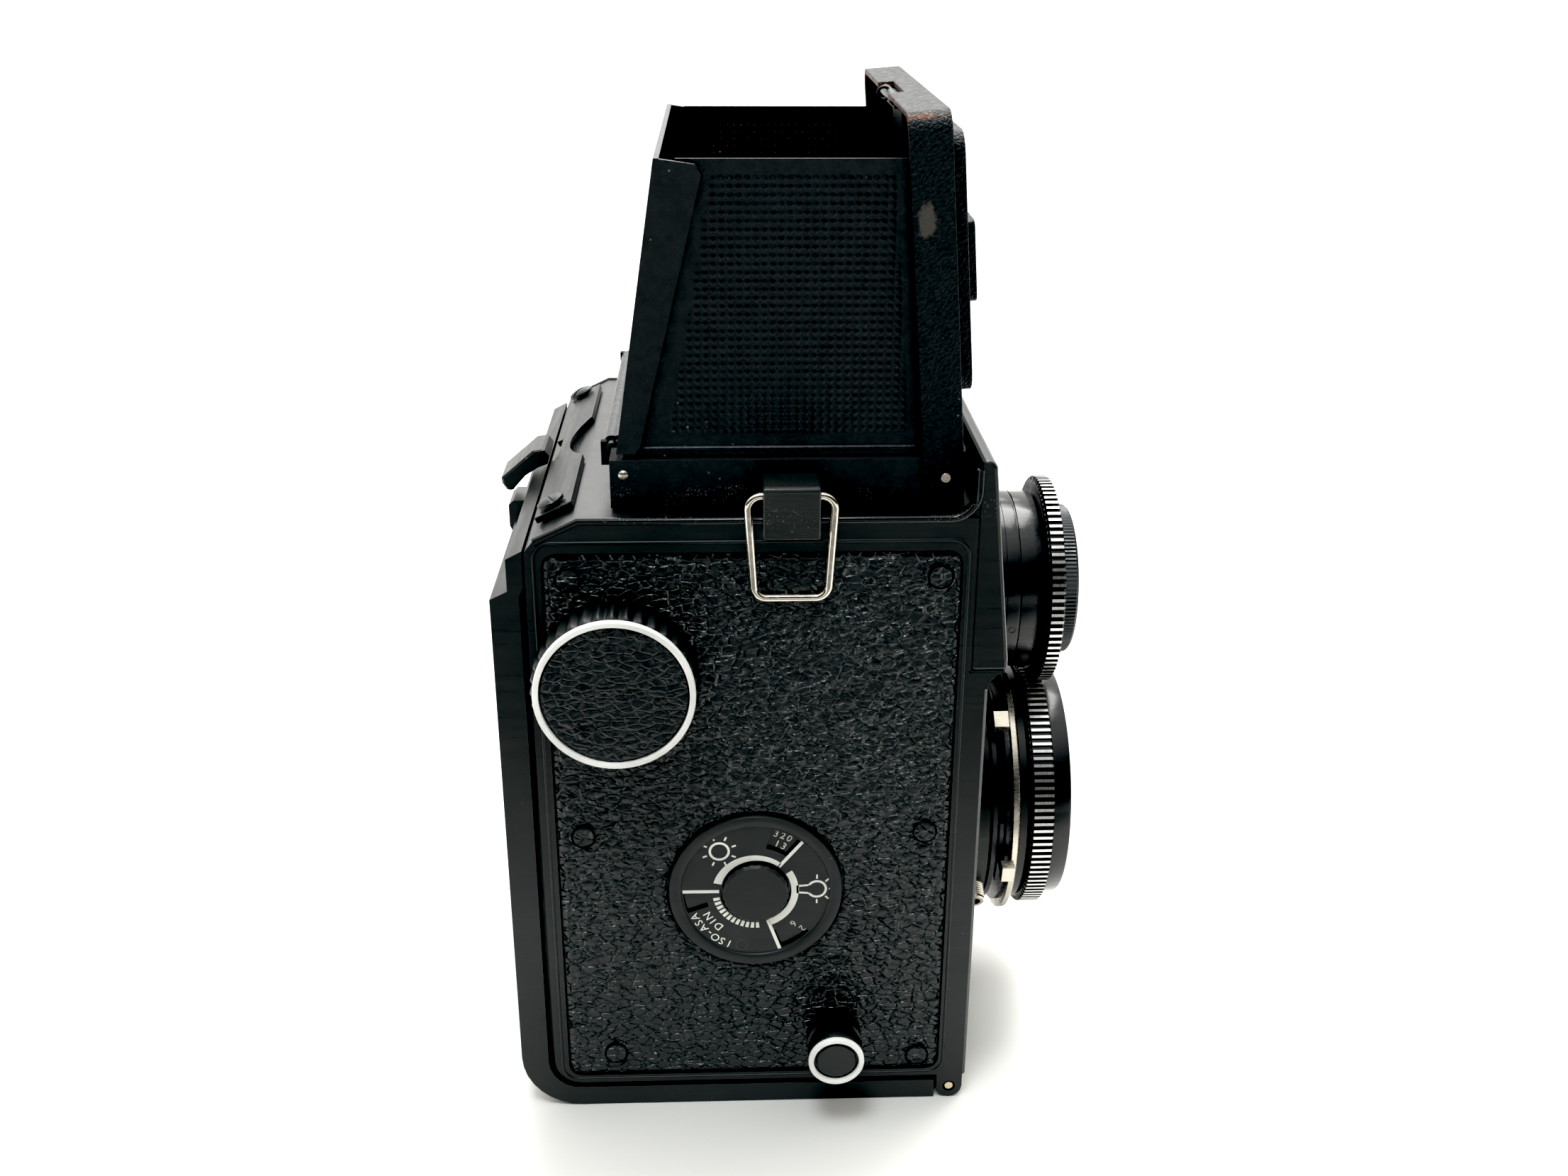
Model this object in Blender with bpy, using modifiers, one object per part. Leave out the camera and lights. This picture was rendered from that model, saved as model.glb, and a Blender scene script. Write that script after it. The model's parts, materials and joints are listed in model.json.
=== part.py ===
"""Twin lens reflex camera for 6x6 roll film, standing on its base with the viewing hood open.

Frame: metres, +Z up, lenses towards -Y, film door towards +Y. X = 0 is the plane through
both lens axes, and the camera's own right-hand side, with the winding knob, is at -X.
The origin is on the resting face of the door, under the middle of the body.
"""
import math

import bmesh
import bpy
from mathutils import Matrix, Vector

# ---------------------------------------------------------------- driving dimensions (metres)
GAP = 0.0003                  # clearance between neighbouring pieces

BODY_HALF_WIDTH = 0.0390
BODY_INNER_HALF = 0.0350      # inside of the side walls
LIP_HALF_WIDTH = 0.0362       # light-trap lip that enters the door
BODY_FRONT = -0.0361          # lower front face
BODY_FRONT_UPPER = -0.0330    # front wall behind the upper front cover
COVER_FRONT = -0.0389         # lower edge of that cover
SHELF_Z = 0.0810              # step between the lower and the upper front wall
DECK_Z = 0.1063               # top deck
DECK_UNDER_Z = 0.1028
BODY_REAR = 0.0337
BODY_BOTTOM = 0.0046

DOOR_REAR = 0.0392
DOOR_UPPER_REAR = 0.0365      # door above its step
DOOR_WALL = 0.0024
DOOR_STEP_Z = 0.0940
DOOR_TOP_Z = 0.1017
DOOR_CORNER = 0.0100
DOOR_FLANGE = 0.0045
HINGE_Y, HINGE_Z = -0.0334, 0.0022
HINGE_PIN_R = 0.00075
HINGE_ROD_BORE = 0.00105
WINDOW_Z = 0.0270             # red window in the door
TRIPOD_Y = 0.0120
LATCH_PIVOT = (0.0340, 0.1046)

SLOPE_START = Vector((0.0258, DECK_Z))          # top of the body's rear slope, as Y, Z
SLOPE_END = Vector((0.0324, 0.1031))
SLOPE_RUN = (SLOPE_END - SLOPE_START).normalized()
SLOPE_NORMAL = Vector((-SLOPE_RUN.y, SLOPE_RUN.x))
SLOPE_ANGLE = math.atan2(SLOPE_RUN.y, SLOPE_RUN.x)
SCREW_X, SCREW_RUN = 0.0298, 0.0042             # plate screws, along X and down the slope
SCREW_BORE_R = 0.0013
PLATE_LOW, PLATE_TOP = GAP, 0.0013

PANEL_HALF_LENGTH = 0.0310
PANEL_LOW_Z, PANEL_HIGH_Z = 0.0064, 0.1009
PANEL_THICK = 0.0010
PANEL_SEAT = 0.0013
BOSSES = ((0.0275, 0.0970), (-0.0280, 0.0970), (0.0270, 0.0530),
          (-0.0273, 0.0530), (0.0233, 0.0107), (-0.0276, 0.0090))

TAKING_Z = 0.0405             # taking lens axis
VIEWING_Z = 0.0805            # viewing lens axis
TAKING_TEETH, VIEWING_TEETH = 110, 88
GEAR_MODULE = (VIEWING_Z - TAKING_Z) * 2 / (TAKING_TEETH + VIEWING_TEETH)
TOOTH_TIP, TOOTH_ROOT = 0.00020, 0.00035     # beyond and inside the pitch circle

TAKE_UP = (0.0206, 0.0822)    # spool axes, as Y, Z
SUPPLY = (-0.0132, 0.0152)
SPOOL_FLANGE_R, SPOOL_CORE_R = 0.0126, 0.0055
SPOOL_HALF = 0.0326
SPINDLE_R, SPOOL_BORE_R = 0.0020, 0.0027
DIAL = (-0.00025, 0.0424)

GATE_HALF = 0.0280            # 56 mm square film gate
HOOD_HALF_WIDTH = 0.0343
HOOD_FRONT, HOOD_REAR = -0.0323, 0.0210
HOOD_BASE_TOP = 0.1140
FLAP_TOP_Z = 0.1570
FLAP_X = 0.0327
FLAP_PIVOT_Z = {"right": 0.1152, "left": 0.1168}
LID_PIVOT = (-0.0285, 0.1115)
LID_LEAN = math.radians(4.55)
LID_HALF_WIDTH = 0.0356
LID_HEIGHT = 0.0522
LID_SHEET = 0.0009
LID_FRONT, LID_BACK = -0.00285, 0.00325         # outer face and skirt edge, from the pivot
MAGNIFIER_PIVOT = Vector((0, 0.0021, 0.0510))   # from the lid's pivot, before the lean
REAR_PIVOT = (0.0211, 0.1139)
REAR_LEAN = math.tan(math.radians(8.73))
STRAP_Y = -0.0056
STRAP_PIVOT_X, STRAP_PIVOT_Z = 0.03995, 0.1103

# A basis says where a piece's own x, y and z point.
UP = Matrix.Identity(3)
ACROSS = Matrix(((0, 0, 1), (1, 0, 0), (0, 1, 0)))      # outline in Y, Z; thickness to +X
FORWARD = Matrix(((1, 0, 0), (0, 0, -1), (0, 1, 0)))    # outline in X, Z; axis to -Y
RIGHT = Matrix(((0, 0, -1), (1, 0, 0), (0, -1, 0)))     # axis to -X
SLOPE = Matrix.Rotation(SLOPE_ANGLE, 3, "X")            # axis square to the rear slope
LID_TURN = Matrix.Rotation(-LID_LEAN, 3, "X")

# ---------------------------------------------------------------- scene and materials
for old in list(bpy.data.objects):
    bpy.data.objects.remove(old, do_unlink=True)

camera_parts = bpy.data.collections.new("twin_lens_reflex_camera")
cutters = bpy.data.collections.new("cutters")
cutters.hide_render = True
for collection in (camera_parts, cutters):
    bpy.context.scene.collection.children.link(collection)


def material(name, color, roughness, metallic=0.0, transmission=0.0):
    made = bpy.data.materials.new(name)
    made.use_nodes = True
    shader = made.node_tree.nodes["Principled BSDF"]
    shader.inputs["Base Color"].default_value = (*color, 1.0)
    shader.inputs["Roughness"].default_value = roughness
    shader.inputs["Metallic"].default_value = metallic
    shader.inputs["Transmission Weight"].default_value = transmission
    return made


BLACK_PLASTIC = (0.018, 0.020, 0.020)
LEATHERETTE = (0.012, 0.014, 0.014)
GLASS = (0.9, 0.92, 0.95)
PAINTED_SHEET = (0.014, 0.015, 0.015)
BRIGHT_METAL = (0.80, 0.79, 0.76)
WARM_METAL = (0.62, 0.56, 0.46)


# ---------------------------------------------------------------- building tools
def finish(obj, color, roughness, metallic=0.0, transmission=0.0):
    """Gives a piece its own material and files it with the camera's parts."""
    obj.data.materials.append(material(obj.name, color, roughness, metallic, transmission))
    camera_parts.objects.link(obj)
    return obj


def as_object(name, bm, basis=UP, location=(0, 0, 0)):
    mesh = bpy.data.meshes.new(name)
    bm.to_mesh(mesh)
    bm.free()
    mesh.transform(basis.to_4x4())
    obj = bpy.data.objects.new(name, mesh)
    obj.location = location
    return obj


def arc(center, radius, start, end, count):
    """Points along an arc, with the angles in degrees."""
    points = []
    for step in range(count + 1):
        angle = math.radians(start + (end - start) * step / count)
        points.append((center[0] + radius * math.cos(angle), center[1] + radius * math.sin(angle)))
    return points


def circle(center, radius, count=32):
    return arc(center, radius, 0, 360, count)[:-1]


def rounded_rect(low, high, radius, count=4):
    corners = ((high[0] - radius, high[1] - radius, 0), (low[0] + radius, high[1] - radius, 90),
               (low[0] + radius, low[1] + radius, 180), (high[0] - radius, low[1] + radius, 270))
    points = []
    for x, y, start in corners:
        points += arc((x, y), radius, start, start + 90, count)
    return points


def rect(low, high):
    return [low, (high[0], low[1]), high, (low[0], high[1])]


def toothed(tip, root, teeth, phase=0.0):
    """Outline of pointed teeth; phase is the angle of one tooth's tip, in degrees."""
    points = []
    for half_pitch in range(2 * teeth):
        angle = math.radians(phase + half_pitch * 180 / teeth)
        reach = root if half_pitch % 2 else tip
        points.append((reach * math.cos(angle), reach * math.sin(angle)))
    return points


def outline(name, rings, low, high, basis, location=(0, 0, 0)):
    """Solid of a flat outline, with holes, between two heights along its own z."""
    curve = bpy.data.curves.new(name, "CURVE")
    curve.dimensions = "2D"
    curve.fill_mode = "BOTH"
    curve.extrude = (high - low) / 2
    for ring in rings:
        spline = curve.splines.new("POLY")
        spline.points.add(len(ring) - 1)
        for point, (x, y) in zip(spline.points, ring):
            point.co = (x, y, 0, 1)
        spline.use_cyclic_u = True
    bm = meshed(curve)
    bmesh.ops.translate(bm, vec=(0, 0, (low + high) / 2), verts=bm.verts)
    return as_object(name, bm, basis, location)


def meshed(curve):
    """The closed mesh of a curve; the curve is removed."""
    drawn = bpy.data.objects.new(curve.name, curve)
    bpy.context.scene.collection.objects.link(drawn)
    bpy.context.view_layer.update()
    seen = drawn.evaluated_get(bpy.context.evaluated_depsgraph_get())
    mesh = bpy.data.meshes.new_from_object(seen)
    bpy.data.objects.remove(drawn, do_unlink=True)
    bm = bmesh.new()
    bm.from_mesh(mesh)
    bmesh.ops.remove_doubles(bm, verts=bm.verts, dist=1e-6)
    bmesh.ops.recalc_face_normals(bm, faces=bm.faces)
    bpy.data.meshes.remove(mesh)
    return bm


def box(name, low, high, location=(0, 0, 0)):
    bm = bmesh.new()
    bmesh.ops.create_cube(bm, size=1.0)
    size = [b - a for a, b in zip(low, high)]
    middle = [(a + b) / 2 for a, b in zip(low, high)]
    bmesh.ops.scale(bm, vec=size, verts=bm.verts)
    bmesh.ops.translate(bm, vec=middle, verts=bm.verts)
    return as_object(name, bm, UP, location)


def rod(name, radius, low, high, basis, location, segments=20):
    """Cylinder along the basis's z, between two heights."""
    bm = bmesh.new()
    bmesh.ops.create_cone(bm, cap_ends=True, segments=segments, radius1=radius,
                          radius2=radius, depth=high - low)
    bmesh.ops.translate(bm, vec=(0, 0, (low + high) / 2), verts=bm.verts)
    return as_object(name, bm, basis, location)


def turned(name, profile, basis, location, steps=32, closed=True):
    """Turned piece: radius and height pairs, outer side first, from the top down."""
    mesh = bpy.data.meshes.new(name)
    edges = [(i, i + 1) for i in range(len(profile) - 1)]
    if closed:
        edges.append((len(profile) - 1, 0))
    mesh.from_pydata([(radius, 0, height) for radius, height in profile], edges, [])
    obj = bpy.data.objects.new(name, mesh)
    obj.rotation_euler = basis.to_euler()
    obj.location = location
    screw = obj.modifiers.new("turn", "SCREW")
    screw.axis = "Z"
    screw.angle = 2 * math.pi
    screw.steps = screw.render_steps = steps
    screw.use_merge_vertices = True
    screw.merge_threshold = 1e-5
    return obj


def combine(target, tool, operation="DIFFERENCE"):
    """Cuts a tool from a piece, or joins it on, with a Boolean that stays live."""
    cutters.objects.link(tool)
    tool.display_type = "WIRE"
    tool.hide_render = True
    boolean = target.modifiers.new(tool.name, "BOOLEAN")
    boolean.operation = operation
    boolean.solver = "EXACT"
    boolean.object = tool


def at(y, z, x=0.0):
    """A point given as Y and Z first, as the side outlines are."""
    return (x, y, z)


def on_slope(run, height):
    """Y and Z of a point down the rear slope, and above it."""
    point = SLOPE_START + SLOPE_RUN * run + SLOPE_NORMAL * height
    return (point.x, point.y)


# ---------------------------------------------------------------- body, panels and front cover
def body_shell():
    """Moulded body: open at the back and the bottom, where the door closes it."""
    corner = (0.0292, 0.0091)
    side = [(BODY_FRONT, BODY_BOTTOM), (BODY_FRONT, SHELF_Z), (BODY_FRONT_UPPER, SHELF_Z),
            (BODY_FRONT_UPPER, DECK_Z), (0.0258, DECK_Z), (0.0324, 0.1031), (BODY_REAR, 0.1015)]
    side += arc(corner, BODY_REAR - corner[0], 0, -90, 5)
    body = outline("body_shell", [side], -BODY_HALF_WIDTH, BODY_HALF_WIDTH, ACROSS)

    lip_corner = (0.0292, 0.0100)
    lip = [(-0.0290, 0.0028)] + arc(lip_corner, 0.0072, -90, 0, 5)
    lip += [(0.0364, 0.0920), (0.0300, 0.0920), (0.0300, 0.0200), (-0.0290, 0.0200)]
    combine(body, outline("body_lip", [lip], -LIP_HALF_WIDTH, LIP_HALF_WIDTH, ACROSS), "UNION")

    hollow = [(-0.0339, -0.0010), (-0.0339, 0.0785), (-0.0308, 0.0785), (-0.0308, DECK_UNDER_Z),
              (0.0300, DECK_UNDER_Z), (0.0330, 0.0995), (0.0450, 0.0995), (0.0450, -0.0010)]
    inner = BODY_INNER_HALF
    combine(body, outline("body_hollow", [hollow], -inner, inner, ACROSS))

    for side_name, sign in (("right", -1), ("left", 1)):
        ends = sorted((sign * 0.0347, sign * BODY_HALF_WIDTH))
        ear = arc((HINGE_Y, HINGE_Z), 0.0022, 180, 360, 8)
        ear += [(HINGE_Y + 0.0022, 0.0052), (HINGE_Y - 0.0022, 0.0052)]
        combine(body, outline("hinge_ear_" + side_name, [ear], *ends, ACROSS), "UNION")
        seat = rounded_rect((-PANEL_HALF_LENGTH - GAP, PANEL_LOW_Z - GAP),
                            (PANEL_HALF_LENGTH + GAP, PANEL_HIGH_Z + GAP), 0.0022)
        ends = sorted((sign * (BODY_HALF_WIDTH - PANEL_SEAT), sign * 0.0420))
        combine(body, outline("panel_seat_" + side_name, [seat], *ends, ACROSS))
    combine(body, rod("hinge_pin_bore", HINGE_PIN_R + GAP, -0.040, 0.040, ACROSS,
                      at(HINGE_Y, HINGE_Z), 16))

    reach = BODY_FRONT - COVER_FRONT
    fillet = arc((COVER_FRONT, SHELF_Z - reach), reach, 0, 90, 6)
    fillet += [(BODY_FRONT + 0.0005, SHELF_Z), (BODY_FRONT + 0.0005, SHELF_Z - reach)]
    combine(body, outline("cover_fillet", [fillet], -BODY_HALF_WIDTH, BODY_HALF_WIDTH, ACROSS), "UNION")
    combine(body, rod("taking_hole", 0.0150, 0.0300, 0.0400, FORWARD, at(0, TAKING_Z), 32))
    combine(body, rod("viewing_hole", 0.0158, 0.0300, 0.0400, FORWARD, at(0, VIEWING_Z), 32))
    combine(body, box("screen_seat", (-0.0273, -0.0273, 0.1039), (0.0273, 0.0153, 0.1100)))
    combine(body, box("screen_opening", (-0.0250, -0.0250, 0.1000), (0.0250, 0.0130, 0.1100)))
    combine(body, rod("ratchet_bore", 0.0043, 0.0340, 0.0400, RIGHT, at(*TAKE_UP)))
    combine(body, rod("spool_pin_bore", SPINDLE_R + GAP, 0.0340, 0.0400, RIGHT, at(*SUPPLY)))
    combine(body, rod("dial_stem_seat", 0.0024, 0.0365, 0.0400, RIGHT, at(*DIAL), 16))
    for name, axis in (("upper", TAKE_UP), ("lower", SUPPLY)):
        pivot = rod("spool_pivot_" + name, SPINDLE_R, 0.0300, 0.0360, ACROSS, at(*axis))
        combine(body, pivot, "UNION")
    for sign in (-1, 1):
        seat = at(*on_slope(SCREW_RUN, 0), sign * SCREW_X)
        combine(body, rod("plate_screw_bore", SCREW_BORE_R, -0.0040, 0.0040, SLOPE, seat, 12))
        corner = [(sign * 0.0381, -0.0365), (sign * 0.0395, -0.0365), (sign * 0.0395, -0.0351)]
        combine(body, outline("front_corner", [corner], 0.0040, SHELF_Z - reach, UP))
    finish(body, BLACK_PLASTIC, 0.45)


def side_panel(side_name, sign):
    """Leatherette-covered plate with six shallow fastening bosses."""
    rings = [rounded_rect((-PANEL_HALF_LENGTH, PANEL_LOW_Z), (PANEL_HALF_LENGTH, PANEL_HIGH_Z), 0.0020)]
    if side_name == "right":
        rings += [circle(DIAL, 0.0144, 36), circle(TAKE_UP, 0.0043, 20), circle(SUPPLY, 0.0023, 16)]
    outer = sign * BODY_HALF_WIDTH
    ends = sorted((outer, outer - sign * PANEL_THICK))
    panel = outline("side_panel_" + side_name, rings, *ends, ACROSS)
    for number, (y, z) in enumerate(BOSSES):
        ends = sorted((outer - sign * 0.0005, outer + sign * 0.00035))
        boss = rod("boss_%s_%d" % (side_name, number), 0.0021, *ends, ACROSS, at(y, z), 12)
        combine(panel, boss, "UNION")
    finish(panel, LEATHERETTE, 0.6)


def front_cover():
    """Sloping upper front, above the ledge over the lower face."""
    side = [(-0.0333, 0.0813), (COVER_FRONT, 0.0813), (COVER_FRONT, 0.0832), (-0.0357, 0.1140),
            (-0.0350, 0.1150), (-0.0333, 0.1150)]
    cover = outline("front_top_cover", [side], -BODY_HALF_WIDTH, BODY_HALF_WIDTH, ACROSS)
    combine(cover, rod("cover_hole", 0.0158, 0.0300, 0.0420, FORWARD, at(0, VIEWING_Z), 32))
    edge = cover.modifiers.new("edge", "BEVEL")
    edge.width = 0.0008
    edge.segments = 2
    edge.limit_method = "ANGLE"
    edge.angle_limit = math.radians(50)
    finish(cover, BLACK_PLASTIC, 0.45)


# ---------------------------------------------------------------- film door
def film_door():
    """Back and bottom in one piece, hinged on a pin at the bottom of the front."""
    corner = (0.0292, DOOR_CORNER)
    flange_corner = (0.0292, 0.0091)
    inner_rear = DOOR_REAR - DOOR_FLANGE
    side = [(-0.0308, 0.0)] + arc(corner, DOOR_CORNER, -90, 0, 8)
    side += [(DOOR_REAR, DOOR_STEP_Z), (DOOR_UPPER_REAR, 0.0953), (DOOR_UPPER_REAR, 0.1004),
             (0.0340, DOOR_TOP_Z), (0.0340, 0.0960), (inner_rear, 0.0945)]
    side += arc(flange_corner, inner_rear - flange_corner[0], 0, -90, 6) + [(-0.0308, 0.0036)]
    door = outline("back_door", [side], -BODY_HALF_WIDTH, BODY_HALF_WIDTH, ACROSS)

    floor = DOOR_WALL
    rear = DOOR_REAR - DOOR_WALL
    hollow = [(-0.0320, floor)] + arc(corner, rear - corner[0], -90, 0, 8)
    hollow += [(rear, 0.0925), (0.0343, 0.0945), (0.0343, 0.0990), (0.0300, 0.0990),
               (0.0300, 0.0120), (-0.0320, 0.0120)]
    reach = LIP_HALF_WIDTH + 0.0004
    combine(door, outline("door_hollow", [hollow], -reach, reach, ACROSS))

    web = [(HINGE_Y, 0.0002), (-0.0290, 0.0002), (-0.0290, floor), (HINGE_Y, floor)]
    combine(door, outline("hinge_web", [web], -0.0343, 0.0343, ACROSS), "UNION")
    combine(door, rod("hinge_barrel", 0.0020, -0.0343, 0.0343, ACROSS, at(HINGE_Y, HINGE_Z), 16), "UNION")
    combine(door, rod("barrel_bore", HINGE_PIN_R + GAP, -0.0400, 0.0400, ACROSS,
                      at(HINGE_Y, HINGE_Z), 16))

    catch = [(0.0370, 0.0905), (0.0398, 0.0912), (0.0404, 0.0925), (0.0404, 0.0962),
             (0.0396, 0.0970), (0.0350, 0.0970)]
    combine(door, outline("door_catch", [catch], -0.0036, 0.0036, ACROSS), "UNION")
    for name, low in (("lower", 0.0172), ("upper", 0.0352)):
        rail = box("cover_rail_" + name, (-0.0095, 0.0388, low), (0.0235, 0.0412, low + 0.0016))
        combine(door, rail, "UNION")
    combine(door, rod("window_hole", 0.0060, -0.0420, -0.0300, FORWARD, at(0, WINDOW_Z), 28))
    combine(door, rod("tripod_hole", 0.0053, -0.0010, 0.0040, UP, (0, TRIPOD_Y, 0), 28))
    finish(door, BLACK_PLASTIC, 0.45)

    pin = rod("door_hinge_pin", HINGE_PIN_R, -0.0389, 0.0389, ACROSS, at(HINGE_Y, HINGE_Z), 16)
    finish(pin, WARM_METAL, 0.3, 1.0)


def door_fittings():
    rings = [rect((-0.0305, 0.0115), (0.0305, 0.0700)), circle((0, WINDOW_Z), 0.0070, 28)]
    plate = outline("pressure_plate", rings, -0.0343, -0.0333, FORWARD)
    finish(plate, PAINTED_SHEET, 0.4, 0.6)

    span, rise, sheet = 0.0200, 0.0014, 0.0003
    lower = [(span * t / 6, 0.0346 + rise * (t / 6) ** 2) for t in range(-6, 7)]
    upper = [(x, y + sheet) for x, y in reversed(lower)]
    spring = outline("pressure_spring", [lower + upper], 0.0440, 0.0520, UP)
    finish(spring, BRIGHT_METAL, 0.3, 1.0)

    window = rod("red_window", 0.0057, -0.0386, -0.0374, FORWARD, at(0, WINDOW_Z), 28)
    finish(window, (0.35, 0.01, 0.01), 0.15, 0.0, 0.6)

    slider = outline("window_cover", [rounded_rect((-0.0078, 0.0191), (0.0078, 0.0349), 0.0010, 2)],
                     -0.0405, -0.0395, FORWARD)
    combine(slider, box("thumb_rib", (-0.0050, 0.0400, 0.0200), (-0.0040, 0.0413, 0.0340)), "UNION")
    finish(slider, BLACK_PLASTIC, 0.4)

    bush = turned("tripod_bush", [(0.0050, 0.0065), (0.0050, 0.0), (0.0030, 0.0), (0.0030, 0.0065)],
                  UP, (0, TRIPOD_Y, 0), 20)
    finish(bush, BRIGHT_METAL, 0.35, 1.0)


# ---------------------------------------------------------------- top: latch, rear plate, screws
def rear_plate():
    """Sloping plate over the latch, scooped for the finger and held by two screws."""
    side = [on_slope(0.0008, PLATE_LOW), on_slope(0.0008, PLATE_TOP),
            on_slope(0.0070, PLATE_TOP), on_slope(0.0070, PLATE_LOW)]
    plate = outline("rear_top_plate", [side], -0.0325, 0.0325, ACROSS)
    scoop = rod("finger_scoop", 0.0200, 0.1000, 0.1200, UP, (0.0010, 0.0100, 0), 48)
    combine(plate, scoop)
    combine(plate, box("latch_notch", (-0.0052, 0.0316, 0.1000), (0.0052, 0.0360, 0.1100)))
    for sign, side_name in ((-1, "right"), (1, "left")):
        seat = at(*on_slope(SCREW_RUN, 0), sign * SCREW_X)
        combine(plate, rod("screw_clearance", SCREW_BORE_R, -0.0010, 0.0030, SLOPE, seat, 12))
        head = [(0.0, 0.00260), (0.0014, 0.00250), (0.0022, 0.00210), (0.0022, 0.00160),
                (0.0010, 0.00160), (0.0010, -0.0030), (0.0, -0.0030)]
        screw = turned("plate_screw_" + side_name, head, SLOPE, seat, 14, closed=False)
        slot = box("screw_slot_" + side_name, (-0.0030, -0.00025, 0.0021), (0.0030, 0.00025, 0.0040), seat)
        slot.rotation_euler = (SLOPE_ANGLE, 0, 0)
        combine(screw, slot)
        finish(screw, BLACK_PLASTIC, 0.3, 0.3)
    finish(plate, BLACK_PLASTIC, 0.45)


def door_latch():
    """Spring hook over the door's catch, turning on its root."""
    side = [(0.0334, 0.1036), (0.0331, 0.1050), (0.0340, 0.1062), (0.0358, 0.1059), (0.0412, 0.1013),
            (0.0411, 0.1003), (0.0404, 0.0992), (0.0394, 0.0990), (0.0390, 0.0996), (0.0372, 0.1016),
            (0.0350, 0.1030)]
    side = [(y - LATCH_PIVOT[0], z - LATCH_PIVOT[1]) for y, z in side]
    latch = outline("door_latch", [side], -0.0044, 0.0044, ACROSS, at(*LATCH_PIVOT))
    edge = latch.modifiers.new("edge", "BEVEL")
    edge.width = 0.0003
    edge.segments = 1
    edge.limit_method = "ANGLE"
    edge.angle_limit = math.radians(60)
    finish(latch, BLACK_PLASTIC, 0.4)


# ---------------------------------------------------------------- viewing hood
def hood_base():
    """Frame on the deck that carries the lid, the flaps and the rear panel."""
    front = 0.0050
    plan = [(HOOD_HALF_WIDTH, HOOD_REAR), (-HOOD_HALF_WIDTH, HOOD_REAR)]
    plan += arc((-HOOD_HALF_WIDTH + front, HOOD_FRONT + front), front, 180, 270, 5)
    plan += arc((HOOD_HALF_WIDTH - front, HOOD_FRONT + front), front, 270, 360, 5)
    well = rect((-0.0325, -0.0305), (0.0325, 0.0192))
    base = outline("hood_base", [plan, well], DECK_Z + GAP, HOOD_BASE_TOP, UP)
    combine(base, box("flap_rail", (0.0321, -0.0240, 0.1130), (0.0332, 0.0170, 0.1159)), "UNION")
    for sign in (-1, 1):
        low, high = sorted((sign * 0.0260, sign * 0.0272))
        ear = box("rear_ear", (low, 0.0196, 0.1110), (high, 0.0227, 0.1147))
        combine(base, ear, "UNION")
    combine(base, box("rear_notch", (-0.0260, 0.0180, 0.1120), (0.0260, 0.0220, 0.1150)))
    combine(base, rod("rear_rod_bore", HINGE_ROD_BORE, -0.0280, 0.0280, ACROSS, at(*REAR_PIVOT), 16))
    combine(base, rod("lid_rod_bore", HINGE_ROD_BORE, -0.0400, 0.0400, ACROSS, at(*LID_PIVOT), 16))
    finish(base, PAINTED_SHEET, 0.5)

    finish(rod("rear_hinge_rod", 0.00075, -0.0276, 0.0276, ACROSS, at(*REAR_PIVOT), 16),
           PAINTED_SHEET, 0.35, 0.8)
    finish(rod("lid_hinge_rod", 0.00075, -0.0361, 0.0361, ACROSS, at(*LID_PIVOT), 16),
           WARM_METAL, 0.35, 1.0)


def rear_face(z, setback=0.0):
    """Y of the rear panel's front face at a height, less a setback."""
    return 0.0190 - (z - 0.1160) * REAR_LEAN - setback


def lid_edge(z):
    """Y of the inner edges of the lid's skirts."""
    return -0.0249 + (z - 0.1160) * 0.0800


def hood_flap(side_name, sign):
    """Side wall of the hood, folding inwards on a rolled edge."""
    pivot_z = FLAP_PIVOT_Z[side_name]
    low = pivot_z
    overlap, setback = 0.0010, 0.0022
    side = [(rear_face(low, setback), low), (rear_face(FLAP_TOP_Z, setback), FLAP_TOP_Z),
            (lid_edge(FLAP_TOP_Z) - overlap, FLAP_TOP_Z), (lid_edge(low) - overlap, low)]
    side = [(y, z - pivot_z) for y, z in side]
    half = 0.0003
    flap = outline("hood_flap_" + side_name, [side], -half, half, ACROSS, at(0, pivot_z, sign * FLAP_X))
    barrel = rod("flap_barrel_" + side_name, 0.0006, -0.0180, 0.0240, FORWARD,
                 at(0, pivot_z, sign * FLAP_X), 12)
    combine(flap, barrel, "UNION")
    finish(flap, PAINTED_SHEET, 0.5)


def hood_rear_panel():
    """Rear wall of the hood, with wings that lap the side flaps."""
    y0, z0 = REAR_PIVOT
    sheet = 0.0008
    low, high = 0.1149, 0.1572
    wall = [(rear_face(low), low), (rear_face(high), high),
            (rear_face(high) + sheet, high), (rear_face(low) + sheet, low)]
    wing = [(rear_face(low), low), (rear_face(high) + sheet, high),
            (rear_face(high) - 0.0049, high - 0.0008), (rear_face(high) - 0.0058, high - 0.0022),
            (rear_face(0.1160) - 0.0026, 0.1160), (rear_face(low) - 0.0020, low)]
    foot = [(0.0192, 0.1153), (0.0192, 0.1142), (0.0200, 0.1133), (0.0211, 0.1128),
            (0.0211, 0.1149), (0.0199, 0.1153)]
    width = 0.0342

    def local(points):
        return [(y - y0, z - z0) for y, z in points]

    pivot = at(*REAR_PIVOT)
    panel = outline("hood_rear_panel", [local(wall)], -width, width, ACROSS, pivot)
    for sign in (-1, 1):
        ends = sorted((sign * width, sign * (width - sheet)))
        combine(panel, outline("wing", [local(wing)], *ends, ACROSS, pivot), "UNION")
    combine(panel, outline("hinge_foot", [local(foot)], -0.0256, 0.0256, ACROSS, pivot), "UNION")
    combine(panel, rod("hinge_roll", 0.0013, -0.0256, 0.0256, ACROSS, pivot, 16), "UNION")
    combine(panel, rod("roll_bore", HINGE_ROD_BORE, -0.0400, 0.0400, ACROSS, pivot, 16))
    finish(panel, PAINTED_SHEET, 0.5)


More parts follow.
